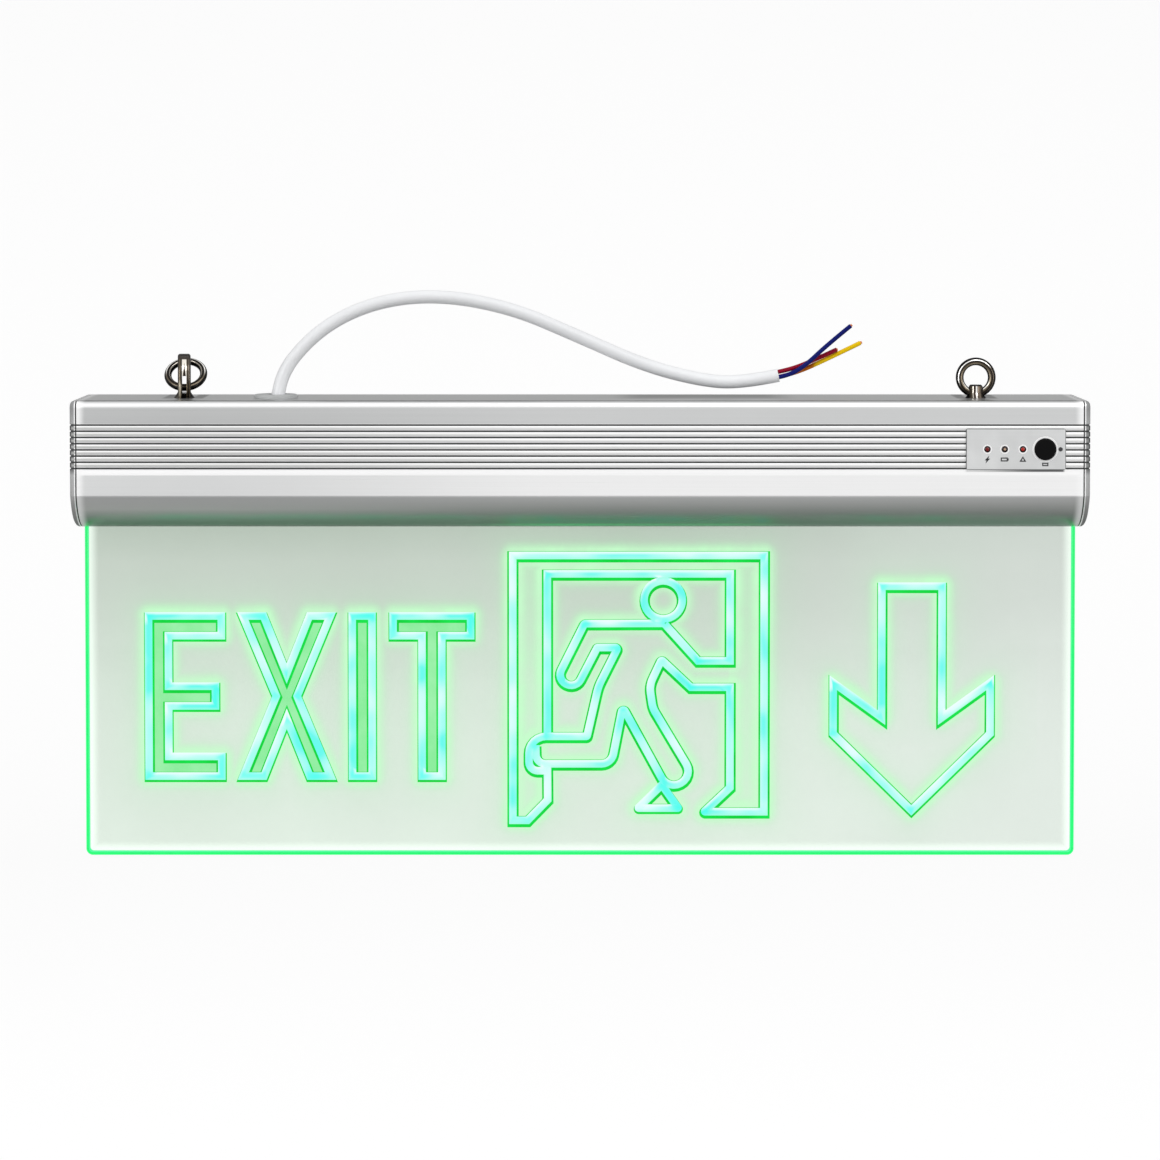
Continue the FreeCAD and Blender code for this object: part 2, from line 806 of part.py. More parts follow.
def indicator_board():
    depth = (indicator_front, indicator_front + indicator_board_thickness)
    height = centred(-plate_drop, indicator_board_height)
    return block(centred(plate_x, indicator_board_length), depth, height)


def indicator_lamp(number):
    """Lamp with a domed nose in its plate hole, a flange behind and two leads to the board."""
    x = plate_x + lamp_offsets[number]
    nose = plate_front - lamp_proud
    dome_start = nose + lamp_radius / 2
    body_end = front_face + lamp_body_length
    sphere_radius = (lamp_radius ** 2 + (lamp_radius / 2) ** 2) / lamp_radius
    cylinder = rod(Vector(x, dome_start, -plate_drop), Vector(x, body_end, -plate_drop), lamp_radius)
    dome = Part.makeSphere(sphere_radius, Vector(x, nose + sphere_radius, -plate_drop))
    limit = rod(Vector(x, nose - wall, -plate_drop), Vector(x, dome_start, -plate_drop), lamp_radius)
    flange_start = Vector(x, front_face + button_rest_gap, -plate_drop)
    flange_end = Vector(x, flange_start.y + lamp_flange_height, -plate_drop)
    pieces = [cylinder, dome.common(limit), rod(flange_start, flange_end, lamp_flange_radius)]
    for side in (-1, 1):
        lead_x = centred(x + side * lamp_lead_spread / 2, lamp_lead_width)
        lead_z = centred(-plate_drop, lamp_lead_width)
        pieces.append(block(lead_x, (body_end - lamp_flange_height, indicator_front), lead_z))
    return fused(pieces)


def test_button():
    """Round cap with a crowned edge, a flange behind the plate and a stem to the plunger."""
    x = plate_x + button_offset
    nose = plate_front - button_proud
    flange = front_face + button_rest_gap
    stem_end = indicator_front - switch_height - plunger_proud
    profile = [(0, 0), (button_radius - button_edge_radius, 0), (button_radius, -button_edge_radius)]
    profile += [(button_radius, nose - flange), (button_flange_radius, nose - flange)]
    profile += [(button_flange_radius, nose - flange - button_flange_height)]
    profile += [(button_stem_radius, nose - flange - button_flange_height)]
    profile += [(button_stem_radius, nose - stem_end), (0, nose - stem_end)]
    return turned(profile, Vector(x, nose, -plate_drop), Vector(0, -1, 0))


def switch_plunger():
    x = plate_x + button_offset
    front = indicator_front - switch_height - plunger_proud
    start = Vector(x, front, -plate_drop)
    return rod(start, Vector(x, front + plunger_length, -plate_drop), plunger_radius)


def test_switch():
    """Square switch body on the indicator board, with the plunger's bore."""
    x = plate_x + button_offset
    front = indicator_front - switch_height
    body = block(
        centred(x, switch_size),
        (front, indicator_front),
        centred(-plate_drop, switch_size),
    )
    start = Vector(x, front - wall, -plate_drop)
    bore = rod(start, Vector(x, front + plunger_bore, -plate_drop), plunger_radius + plunger_gap)
    return body.cut(bore)


def plate_screw():
    x = plate_x + plate_screw_offset
    profile = [(0, plate_screw_head_height), (plate_screw_head_radius, plate_screw_head_height)]
    profile += [(plate_screw_head_radius, 0), (plate_screw_radius, 0)]
    profile += [(plate_screw_radius, -plate_screw_length), (0, -plate_screw_length)]
    return turned(profile, Vector(x, plate_front, -plate_drop), Vector(0, -1, 0))


def cell_axis_height():
    return board_top + cradle_bed + cell_gap + cell_radius


def battery_cells():
    """Cells end to end, each with its raised tip."""
    cells = []
    height = cell_axis_height()
    for number in range(cell_count):
        x = battery_start + number * (cell_length + cell_tip_length)
        body = rod(Vector(x, battery_y, height), Vector(x + cell_length, battery_y, height), cell_radius)
        tip_start = Vector(x + cell_length, battery_y, height)
        tip_end = Vector(x + cell_length + cell_tip_length, battery_y, height)
        cells.append(fused([body, rod(tip_start, tip_end, cell_tip_radius)]))
    return Part.makeCompound(cells)


def cradle_places():
    """Middle of each cradle rib along X, one near each end of every cell."""
    places = []
    for number in range(cell_count):
        start = battery_start + number * (cell_length + cell_tip_length)
        places += [start + cell_length / 5, start + cell_length * 4 / 5]
    return places


def battery_tray():
    """Tray that slides into the rails, with a cradle rib under each end of every cell."""
    base_x = (battery_start - tray_margin, battery_end + tray_margin)
    pieces = [block(base_x, centred(0, 2 * board_half_width), (board_bottom, board_top))]
    half_rib = cell_radius + cell_gap
    for x in cradle_places():
        rib_y = centred(battery_y, 2 * half_rib)
        pieces.append(block(centred(x, cradle_thickness), rib_y, (board_top, board_top + cradle_height)))
    for x in (base_x[0], base_x[1] - tray_margin):
        stop_y = centred(battery_y, 2 * half_rib)
        pieces.append(block((x, x + tray_margin), stop_y, (board_top, cell_axis_height())))
    height = cell_axis_height()
    bed_start = Vector(base_x[0] + tray_margin, battery_y, height)
    bed_end = Vector(base_x[1] - tray_margin, battery_y, height)
    bed = rod(bed_start, bed_end, cell_radius + cell_gap)
    return fused(pieces).cut(bed)


def battery_clips():
    """Sprung hoops over the end cells, with feet on the tray."""
    inner = cell_radius + cell_gap
    outer = inner + clip_thickness
    height = cell_axis_height()
    clips = []
    for number in (0, cell_count - 1):
        start = battery_start + number * (cell_length + cell_tip_length)
        x = centred(start + cell_length / 2, clip_width)
        hoop_start = Vector(x[0], battery_y, height)
        hoop_end = Vector(x[1], battery_y, height)
        hoop = rod(hoop_start, hoop_end, outer)
        legs = block(x, centred(battery_y, 2 * outer), (board_top, height))
        clip = fused([hoop, legs])
        bore = rod(hoop_start, hoop_end, inner)
        gap = block(x, centred(battery_y, 2 * inner), (board_top - wall, height))
        clips.append(clip.cut(fused([bore, gap])))
    return Part.makeCompound(clips)


def driver_board():
    length = centred(driver_x, driver_length)
    return block(length, centred(0, 2 * board_half_width), (board_bottom, board_top))


def transformer():
    """Laminated core with two windows, standing on the driver board."""
    core_z = (board_top, board_top + transformer_height)
    core = block(
        centred(transformer_x, transformer_length),
        centred(0, transformer_width / 2),
        core_z,
    )
    window = (transformer_length - 3 * transformer_leg) / 2
    window_z = (core_z[0] + transformer_leg / 2, core_z[1] - transformer_leg / 2)
    cuts = []
    for side in (-1, 1):
        x = transformer_x + side * (transformer_leg + window) / 2
        cuts.append(block(centred(x, window), centred(0, transformer_width), window_z))
    return core.cut(Part.makeCompound(cuts))


def transformer_winding():
    """Winding round the core's middle leg, rounded where it stands out of the windows."""
    window = (transformer_length - 3 * transformer_leg) / 2
    low = board_top + transformer_leg / 2 + winding_gap
    high = board_top + transformer_height - transformer_leg / 2 - winding_gap
    outer_x = transformer_leg + 2 * (window - winding_gap)
    coil = block(centred(transformer_x, outer_x), centred(0, transformer_width), (low, high))
    upright = [e for e in coil.Edges if is_upright(e)]
    coil = coil.makeFillet(window / 2, upright)
    leg_x = transformer_leg + 2 * winding_gap
    leg_y = transformer_width / 2 + 2 * winding_gap
    leg = block(centred(transformer_x, leg_x), centred(0, leg_y), (low - wall, high + wall))
    return coil.cut(leg)


def is_upright(edge):
    first, last = edge.Vertexes[0], edge.Vertexes[-1]
    return abs(first.X - last.X) < same_place and abs(first.Y - last.Y) < same_place


def driver_capacitors():
    capacitors = []
    radius = capacitor_radius
    rounding = capacitor_rounding
    for along, y in capacitor_offsets:
        profile = [(0, 0), (radius, 0), (radius, capacitor_height - rounding)]
        profile += [(radius - rounding, capacitor_height), (0, capacitor_height)]
        capacitors.append(turned(profile, Vector(driver_x + along, y, board_top)))
    return Part.makeCompound(capacitors)


def driver_chips():
    chips = []
    for along, y in chip_offsets:
        size_z = (board_top, board_top + chip_size[2])
        size_x = centred(driver_x + along, chip_size[0])
        chips.append(block(size_x, centred(y, chip_size[1]), size_z))
    return Part.makeCompound(chips)


nodes = {
    "housing_extrusion": housing_extrusion(),
    "left_end_cap": end_cap(-1),
    "right_end_cap": end_cap(1),
    "end_cap_screws": cap_screws(),
    "sign_panel": sign_panel(),
    "front_hanger_bar": hanger_bar(-1),
    "rear_hanger_bar": hanger_bar(1),
    "hanger_screws": hanger_screws(),
    "light_strip": light_strip(),
    "light_emitters": light_emitters(),
    "left_eye_bolt": left_eye_bolt(),
    "right_eye_bolt": right_eye_bolt(),
    "eye_bolt_nuts": eye_nuts(),
    "hanging_ring": hanging_ring(),
    "cable_gland": cable_gland(),
    "gland_nut": gland_nut(),
    "mains_cable": mains_cable(),
    "red_core": bare_core("red_core", 0),
    "blue_core": bare_core("blue_core", 1),
    "yellow_core": bare_core("yellow_core", 2),
    "inner_cores": inner_cores(),
    "terminal_block": terminal_block(),
    "control_plate": control_plate(),
    "plate_screw": plate_screw(),
    "supply_lamp": indicator_lamp(0),
    "charge_lamp": indicator_lamp(1),
    "fault_lamp": indicator_lamp(2),
    "indicator_board": indicator_board(),
    "test_button": test_button(),
    "switch_plunger": switch_plunger(),
    "test_switch": test_switch(),
    "battery_cells": battery_cells(),
    "battery_tray": battery_tray(),
    "battery_clips": battery_clips(),
    "driver_board": driver_board(),
    "transformer": transformer(),
    "transformer_winding": transformer_winding(),
    "driver_capacitors": driver_capacitors(),
    "driver_chips": driver_chips(),
}

os.makedirs("parts", exist_ok=True)
for name, shape in nodes.items():
    shape.exportStep("parts/" + name + ".step")
    print(name, len(shape.Solids), "solids, valid", shape.isValid(), "volume", round(shape.Volume, 1))
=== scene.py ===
import math

import bmesh
import bpy
import numpy as np
from mathutils import Matrix, Vector


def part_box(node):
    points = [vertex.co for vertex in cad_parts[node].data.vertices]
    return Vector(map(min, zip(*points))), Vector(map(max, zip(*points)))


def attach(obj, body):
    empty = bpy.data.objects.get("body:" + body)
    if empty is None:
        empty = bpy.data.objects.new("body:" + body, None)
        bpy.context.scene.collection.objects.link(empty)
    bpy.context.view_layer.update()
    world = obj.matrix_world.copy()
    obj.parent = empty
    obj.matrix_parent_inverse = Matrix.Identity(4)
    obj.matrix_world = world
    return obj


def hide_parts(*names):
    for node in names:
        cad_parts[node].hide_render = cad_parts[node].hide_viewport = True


# Hanging emergency exit light, edge-lit. Metres, in the model's own frame:
# X along the housing, Y from its front to its back, Z up from the housing's top face.
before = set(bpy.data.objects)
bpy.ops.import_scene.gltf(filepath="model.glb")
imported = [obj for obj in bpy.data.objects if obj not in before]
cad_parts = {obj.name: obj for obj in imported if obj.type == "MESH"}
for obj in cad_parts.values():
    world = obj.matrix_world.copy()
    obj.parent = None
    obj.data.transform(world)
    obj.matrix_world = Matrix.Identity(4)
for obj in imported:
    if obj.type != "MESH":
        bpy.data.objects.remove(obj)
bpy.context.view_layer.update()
MM = 0.001

# Camera, with its tilt in degrees
lens_length = 101.5
sensor_width = 36.0
camera_shift = -0.24
camera_place = (0.0, -1.1705, 0.0729)
camera_tilt = 1.885
nearest_shown = 0.05
farthest_shown = 20.0

# Sign lines on the panel's front, in millimetres, as (along, up)
line_width = 2.7
edge_drop = 0.5
edge_shift = 0.06
edge_margin = 0.68
outer_margin = 0.36
line_step = 3.0
corner_clearance = 3.6
edge_thickness = 0.12
line_thickness = 0.2
layer_step = 0.012
arc_steps = 6
circle_points = 36
lit_way = (-0.35, 0.94)
corner_reach = 2.2

# Glow round the lines: the sheet's span, then strength and reach of the light
glow_along = (-172.0, 164.0)
glow_up = (-163.0, -47.0)
glow_step = 1.0
glow_lift = 0.02
close_glow = 0.8
close_reach = 2.5
wide_glow = 0.26
wide_reach = 6.5
door_glow = 0.3
most_glow = 0.9

# Word, and the film inside its letters
letter_top = -76.9
letter_height = 60.4
letter_stroke = 9.8
e_left = -156.0
e_width = 28.8
e_middle_width = 26.6
x_left = -122.9
x_width = 35.4
x_arm = 10.4
x_notch = 18.4
i_left = -83.0
t_left = -68.35
t_width = 30.5
film_inset = 2.16
film_lift = 0.03
film_thickness = 0.02

# Arrow
arrow_x = 118.95
arrow_shaft = 12.15
arrow_top = -66.2
arrow_notch = -112.2
arrow_half_width = 29.5
arrow_barb = -99.6
arrow_shoulder = -121.2
arrow_tip = -150.2

# Running figure and door: centre-lines as (along, up, corner radius)
leg_and_door = [
    (-15.9, -124.8, 0),
    (-15.7, -131.5, 3.4),
    (11.3, -131.5, 4.4),
    (15.3, -111.0, 0.6),
    (31.7, -141.0, 5.1),
    (40.7, -135.9, 5.1),
    (26.1, -111.4, 9.0),
    (24.9, -103.2, 9.0),
    (29.2, -94.0, 0.5),
    (39.7, -103.9, 0),
    (53.8, -103.9, 0),
    (53.8, -140.1, 0),
    (44.6, -148.8, 0.12),
    (66.0, -148.8, 0),
    (66.0, -56.5, 0),
    (-24.1, -56.5, 0),
    (-24.1, -151.9, 0),
    (-18.8, -151.9, 0),
    (-11.6, -144.5, 0),
    (-11.7, -131.5, 0),
]
door_inside = [
    (-11.7, -121.6, 0),
    (-11.7, -63.1, 0),
    (53.8, -63.1, 0),
    (53.8, -94.4, 0),
    (42.3, -94.4, 0),
    (30.4, -81.2, 0),
]
arm_and_leg = [
    (30.4, -80.9, 0),
    (1.6, -81.0, 0.8),
    (-8.4, -101.0, 3.8),
    (-1.5, -104.5, 3.8),
    (6.2, -89.6, 0.4),
    (13.6, -89.6, 0.6),
    (6.6, -103.5, 20.0),
    (2.5, -121.6, 0.4),
    (-18.3, -121.6, 6.1),
    (-18.3, -134.0, 6.1),
    (-11.9, -134.0, 0),
]
foot = [(29.4, -139.1, 0), (20.8, -147.5, 0.12), (35.3, -147.5, 0.12)]
head_place = (29.8, -72.45)
head_radius = 6.85

# Door frame's outer and inner limits, along and up
door_outline = ((-24.1, 66.0), (-151.9, -56.5))
door_opening = ((-11.7, 53.8), (-151.9, -63.1))

# Painted highlights on the control plate, as white rims that glow a little, as (node, inner radius, width)
rims = [
    ("supply_lamp", 1.17, 0.45),
    ("charge_lamp", 1.17, 0.45),
    ("fault_lamp", 1.17, 0.45),
    ("test_button", 3.92, 0.6),
]
rim_thickness = 0.06

# Small signs on the control plate as (node, drop below the plate's middle, outline)
print_thickness = 0.03
sign_width = 0.42
lamp_sign_drop = 3.6
button_sign_drop = 5.35
bolt = [(0.3, 0.8), (-0.5, -0.1), (-0.05, -0.1), (-0.3, -0.8), (0.5, 0.1), (0.05, 0.1)]
battery = [(-1.2, 0.5), (-1.2, -0.5), (0.9, -0.5), (0.9, -0.2)]
battery += [(1.2, -0.2), (1.2, 0.2), (0.9, 0.2), (0.9, 0.5)]
triangle = [(0.0, 0.75), (-0.85, -0.6), (0.85, -0.6)]
bar = [(-0.9, 0.4), (-0.9, -0.4), (0.9, -0.4), (0.9, 0.4)]
signs = [
    ("supply_lamp", lamp_sign_drop, bolt),
    ("charge_lamp", lamp_sign_drop, battery),
    ("fault_lamp", lamp_sign_drop, triangle),
    ("test_button", button_sign_drop, bar),
]

# Cable route as in the model: up out of the gland, over in a long arch and down to the top face
cable_diameter = 4.8
cable_route = [
    (-109.0, 0.0, -9.0),
    (-108.7, 0.0, 3.2),
    (-102.9, 0.4, 14.9),
    (-89.3, 1.2, 27.3),
    (-70.8, 2.2, 34.9),
    (-49.0, 3.0, 36.6),
    (-24.0, 3.6, 31.8),
    (-1.0, 4.6, 21.9),
    (22.5, 5.4, 11.4),
    (43.0, 6.6, 5.9),
    (57.5, 7.0, 4.7),
    (71.5, 6.4, 7.6),
]
core_diameter = 1.6
copper_diameter = 1.0
core_ring = 1.25
core_straight = 4.2
jacket_end = 0.992
strand_start = 0.97
# Reach of the painted shade on the yellow core, along X from the cable's end
core_shade_length = 13.0
core_routes = {
    "red_core": [(10.8, 0.3, 3.2), (21.6, 0.5, 8.2)],
    "blue_core": [(9.9, -0.8, 4.6), (17.2, -1.0, 11.6), (26.2, -0.8, 18.9)],
    "yellow_core": [(13.0, 0.4, 4.2), (30.0, 0.9, 12.5)],
}

# Grooves along the housing, and where the painted grey shade along the middle of its lands fades
first_groove_drop = 8.5
groove_pitch = 2.19
land_heights = (-23.9, -8.9)
groove_heights = (-24.4, -8.05)
groove_floor = (20.3, 20.1)
land_shade_fades = (-150.0, 0.0)

# Light, shade and seams on the housing and its caps, as spans along, across or up
housing_changes = (-150.0, 20.0)
lit_heights = (-45.55, -44.3)
lit_stretch = (-25.0, 62.0)
top_face = (-0.1, -0.02)
top_edge_places = (16.6, 17.6)
bright_ends = (174.2, 177.0)
housing_seam = (177.4, 177.5)
cap_seam = (177.95, 177.8)
cap_edge = (178.15, 178.45)
under_plate_heights = (-25.0, -24.15)
under_plate_stretch = (136.0, 170.6)
under_plate_grows = (136.0, 162.0)
cable_patch_stretch = (16.0, 72.0)
eye_shade_reach = (3.4, 7.2)

# Tones of the housing's profile by height below its top face, in display colours: the metal's grey with
# painted highlights, painted reflections and painted shade, and painted green light near the underside
left_tone_and_painted_light = [
    (0.0, (186, 187, 187)),
    (-0.05, (172, 173, 173)),
    (-0.4, (196, 197, 197)),
    (-0.76, (222, 222, 222)),
    (-1.1, (240, 240, 240)),
    (-1.5, (244, 244, 244)),
    (-1.85, (228, 228, 228)),
    (-2.2, (202, 203, 203)),
    (-2.6, (190, 191, 191)),
    (-7.8, (186, 187, 187)),
    (-8.8, (240, 240, 240)),
    (-24.2, (240, 240, 240)),
    (-24.6, (254, 254, 254)),
    (-26.0, (254, 254, 254)),
    (-26.4, (216, 217, 217)),
    (-33.1, (216, 217, 217)),
    (-33.6, (200, 201, 201)),
    (-34.3, (186, 187, 187)),
    (-38.5, (188, 191, 188)),
    (-42.0, (136, 152, 143)),
    (-44.4, (72, 118, 92)),
    (-45.7, (36, 84, 58)),
]
right_tone_and_painted_light = [
    (0.0, (188, 189, 189)),
    (-0.05, (174, 175, 175)),
    (-0.4, (198, 199, 199)),
    (-0.76, (224, 224, 224)),
    (-1.1, (244, 244, 244)),
    (-1.5, (248, 248, 248)),
    (-1.85, (232, 232, 232)),
    (-2.2, (212, 213, 213)),
    (-2.6, (206, 207, 207)),
    (-7.8, (206, 207, 207)),
    (-8.8, (250, 250, 250)),
    (-24.2, (250, 250, 250)),
    (-24.6, (254, 254, 254)),
    (-26.0, (254, 254, 254)),
    (-26.4, (244, 244, 244)),
    (-33.1, (246, 246, 246)),
    (-33.6, (222, 222, 222)),
    (-34.3, (198, 199, 199)),
    (-37.0, (178, 180, 178)),
    (-40.5, (142, 148, 144)),
    (-43.5, (100, 128, 112)),
    (-45.2, (66, 104, 84)),
    (-45.7, (36, 66, 50)),
]
# End caps' rounded edge: its grey with painted light and shade, by height
cap_tone_and_painted_light = [
    (0.0, (150, 151, 151)),
    (-2.8, (166, 167, 167)),
    (-7.8, (188, 189, 189)),
    (-8.8, (136, 137, 137)),
    (-24.6, (136, 137, 137)),
    (-26.2, (196, 197, 197)),
    (-34.0, (188, 188, 188)),
    (-39.0, (168, 168, 168)),
    (-45.7, (150, 151, 151)),
]

# Panel's clear tint and painted shade by height, from its top to its foot, darker at its top, and its
# corners
panel_top = -45.0
panel_corner_radius = 2.4
panel_pales = (20.0, 176.0)
panel_edge_light = (5.0, 1.0)
panel_edge_rim = (1.2, 0.95)
panel_tint_and_shade = [
    (0.0, (0.388, 0.456, 0.390, 1)),
    (0.12, (0.472, 0.536, 0.473, 1)),
    (0.5, (0.545, 0.622, 0.551, 1)),
    (1.0, (0.592, 0.674, 0.599, 1)),
]

# Light in the sign's lines
line_lights = [
    (0.34, (104, 250, 238)),
    (0.45, (160, 253, 244)),
    (0.58, (196, 253, 247)),
    (0.72, (226, 254, 254)),
]

# Bright metals: their drawn lines, and the painted dark line of shade inside the control plate's edge
satin_lines = {"Lines": 2200.0, "Length": 9.0, "Roughness": 0.3, "Spread": 0.12}
polished_lines = {"Lines": 1500.0, "Length": 700.0, "Roughness": 0.22, "Spread": 0.05}
plate_lines = {"Lines": 2400.0, "Length": 30.0, "Roughness": 0.36, "Spread": 0.08}
plate_edge_shade = (0.3, 0.1)

# Right eye: painted reflections as tones by distance from the eye's centre, and across the collar under it,
# with painted highlights and painted shade
eye_radius = 7.15
outer_painted_highlight = (6.12, 6.42)
inner_painted_highlight = (4.72, 5.0)
collar_radius = 2.55
collar_top = (4.75, 4.6)
collar_top_painted_shade = (4.05, 4.3)
eye_painted_reflections = [
    (4.3, (12, 11, 10)),
    (4.65, (12, 10, 9)),
    (4.78, (84, 76, 64)),
    (4.95, (120, 110, 94)),
    (5.5, (84, 74, 60)),
    (5.7, (24, 18, 14)),
    (6.1, (28, 22, 18)),
    (6.2, (72, 64, 54)),
    (6.4, (64, 58, 50)),
    (6.55, (4, 4, 4)),
    (7.2, (2, 2, 2)),
]
collar_painted_reflections = [
    (-2.6, (26, 24, 20)),
    (-1.7, (74, 66, 54)),
    (-1.45, (62, 54, 44)),
    (-1.2, (226, 220, 208)),
    (-0.95, (58, 48, 40)),
    (-0.3, (66, 54, 46)),
    (-0.1, (252, 250, 246)),
    (0.2, (246, 242, 236)),
    (0.45, (70, 60, 50)),
    (1.3, (118, 106, 92)),
    (1.8, (56, 48, 40)),
    (2.6, (24, 22, 20)),
]

# Left eye: painted reflections as tones across it as it is seen edge on, above and below the level where
# they change
left_eye_slope = 0.121
left_eye_changes = (4.5, 7.5)
left_eye_top = (13.7, 14.1)
wedge_heights = (7.9, 12.6)
left_eye_upper_painted_reflections = [
    (-2.5, (10, 10, 9)),
    (-2.1, (14, 12, 11)),
    (-1.9, (96, 86, 72)),
    (-1.3, (78, 70, 58)),
    (-1.1, (18, 15, 12)),
    (-0.9, (24, 20, 16)),
    (-0.75, (236, 230, 218)),
    (0.65, (240, 236, 226)),
    (0.85, (110, 98, 80)),
    (1.1, (30, 25, 20)),
    (1.4, (92, 84, 74)),
    (1.9, (84, 78, 70)),
    (2.1, (16, 14, 12)),
    (2.5, (8, 8, 8)),
]
left_eye_lower_painted_reflections = [
    (-2.5, (60, 56, 48)),
    (-2.1, (74, 68, 58)),
    (-1.9, (214, 204, 184)),
    (-1.3, (196, 184, 162)),
    (-1.1, (60, 52, 42)),
    (-0.7, (16, 14, 12)),
    (0.7, (14, 12, 10)),
    (0.9, (150, 134, 106)),
    (1.1, (34, 26, 20)),
    (1.7, (40, 32, 24)),
    (1.9, (120, 104, 78)),
    (2.2, (30, 26, 22)),
    (2.5, (12, 11, 10)),
]

# Hanging ring: its lean in degrees, and painted reflections and a painted highlight, by distance from its
# centre
ring_lean = 46.0
ring_painted_highlight = (6.75, 7.1)
ring_painted_reflections = [
    (5.0, (4, 4, 3)),
    (5.45, (8, 7, 6)),
    (5.58, (210, 204, 194)),
    (5.8, (190, 182, 170)),
    (5.95, (20, 15, 11)),
    (6.65, (22, 16, 12)),
    (6.8, (92, 82, 68)),
    (7.1, (86, 78, 66)),
    (7.2, (8, 7, 6)),
    (7.7, (3, 3, 3)),
]

# Floor and wall behind, and the pale patch that gloss sees, in metres
floor_level = -0.45
floor_front = -2.6
floor_half_width = 4.5
floor_bend = 0.8
bend_steps = 12
wall_depth = 2.2
wall_top = 2.6
gloss_patch_along = (-0.8, 0.8)
gloss_patch_up = (-0.2, 0.55)
gloss_patch_begins = (1.2, 1.6)


def metres(point):
    return Vector(point) * MM


def linear(red, green, blue):
    """Scene colour of a display colour given from 0 to 255."""
    parts = []
    for value in (red, green, blue):
        share = value / 255
        parts.append(share / 12.92 if share <= 0.04045 else ((share + 0.055) / 1.055) ** 2.4)
    return (*parts, 1.0)


def add_camera():
    """Camera a little over a metre in front and above the housing, turned slightly down."""
    data = bpy.data.cameras.new("camera")
    data.lens = lens_length
    data.sensor_width = sensor_width
    data.shift_y = camera_shift
    data.clip_start = nearest_shown
    data.clip_end = farthest_shown
    camera = bpy.data.objects.new("camera", data)
    camera.location = camera_place
    camera.rotation_euler = (math.radians(90 - camera_tilt), 0.0, 0.0)
    bpy.context.scene.collection.objects.link(camera)
    bpy.context.scene.camera = camera


def new_piece(name, data, material, body="root"):
    piece = bpy.data.objects.new(name, data)
    bpy.context.scene.collection.objects.link(piece)
    if material:
        data.materials.append(material)
    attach(piece, body)
    return piece


def nurbs_line(name, points, diameter):
    """Round line of that diameter on a smooth curve, with the points as its control points."""
    curve = bpy.data.curves.new(name, "CURVE")
    curve.dimensions = "3D"
    curve.bevel_depth = diameter / 2
    curve.bevel_resolution = 7
    curve.resolution_u = 10
    curve.use_fill_caps = True
    spline = curve.splines.new("NURBS")
    spline.points.add(len(points) - 1)
    for control, place in zip(spline.points, points):
        control.co = (*place, 1.0)
    spline.order_u = 3
    spline.use_endpoint_u = True
    return curve


def middle_of(node):
    """Middle of a node's box, in millimetres."""
    low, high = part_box(node)
    return (low + high) / 2 / MM


# Nodes and node groups


def connect(tree, socket, value):
    """Gives a node's input a value, or links it to another node's output."""
    if isinstance(value, bpy.types.NodeSocket):
        tree.links.new(value, socket)
    else:
        socket.default_value = value


def add(tree, kind, inputs=None, **settings):
    """New node. Inputs are values or other nodes' sockets, by the input's name or number."""
    node = tree.nodes.new(kind)
    for key, value in settings.items():
        setattr(node, key, value)
    for key, value in (inputs or {}).items():
        connect(tree, node.inputs[key], value)
    return node


def maths(tree, operation, first, second=0.0):
    return add(tree, "ShaderNodeMath", {0: first, 1: second}, operation=operation).outputs[0]


def product(tree, first, *others):
    for other in others:
        first = maths(tree, "MULTIPLY", first, other)
    return first


def off_middle(tree, value, middle):
    """How far a value lies from a middle, on either side of it."""
    return maths(tree, "ABSOLUTE", maths(tree, "SUBTRACT", value, middle))


def way_length(tree, first, second):
    """Length of a way from its parts in two directions."""
    squares = [maths(tree, "POWER", maths(tree, "ABSOLUTE", part), 2.0) for part in (first, second)]
    return maths(tree, "SQRT", maths(tree, "ADD", *squares))


def ranged(tree, value, span, target=(0.0, 1.0), kind="SMOOTHSTEP"):
    """Value mapped from one span to another and kept within it."""
    inputs = {"Value": value, "From Min": span[0], "From Max": span[1]}
    inputs["To Min"] = target[0]
    inputs["To Max"] = target[1]
    return add(tree, "ShaderNodeMapRange", inputs, interpolation_type=kind).outputs["Result"]


def between(tree, value, limits, soft):
    """1 where a value lies between two limits, with soft ends."""
    low, high = limits
    above = ranged(tree, value, (low - soft, low + soft))
    return product(tree, above, ranged(tree, value, (high + soft, high - soft)))


def mixed(tree, share, first, second, blend="MIX"):
    inputs = {0: share, 6: first, 7: second}
    return add(tree, "ShaderNodeMix", inputs, data_type="RGBA", blend_type=blend).outputs[2]


def ramp(tree, value, stops, kind="LINEAR"):
    """Colour by value, from (place, colour) stops in rising order."""
    node = add(tree, "ShaderNodeValToRGB", {0: value})
    node.color_ramp.interpolation = kind
    elements = node.color_ramp.elements
    while len(elements) < len(stops):
        elements.new(0.5)
    for element, (place, colour) in zip(elements, stops):
        element.position = place
        element.color = colour
    return node.outputs[0]


def bands(tree, value, stops):
    """Colour by a value in millimetres, from (value, colour) stops in rising order."""
    first = stops[0][0]
    span = stops[-1][0] - first
    share = ranged(tree, value, (first, first + span), kind="LINEAR")
    return ramp(tree, share, [((place - first) / span, linear(*colour)) for place, colour in stops])


def object_place(tree):
    return add(tree, "ShaderNodeTexCoord").outputs["Object"]


def coordinates(tree):
    """Object-space X, Y and Z in millimetres."""
    scaled = add(tree, "ShaderNodeVectorMath", {0: object_place(tree), "Scale": 1 / MM}, operation="SCALE")
    return add(tree, "ShaderNodeSeparateXYZ", {0: scaled.outputs[0]}).outputs


def attribute(tree, name):
    """Value that a piece carries at its points."""
    return add(tree, "ShaderNodeAttribute", attribute_name=name).outputs["Fac"]


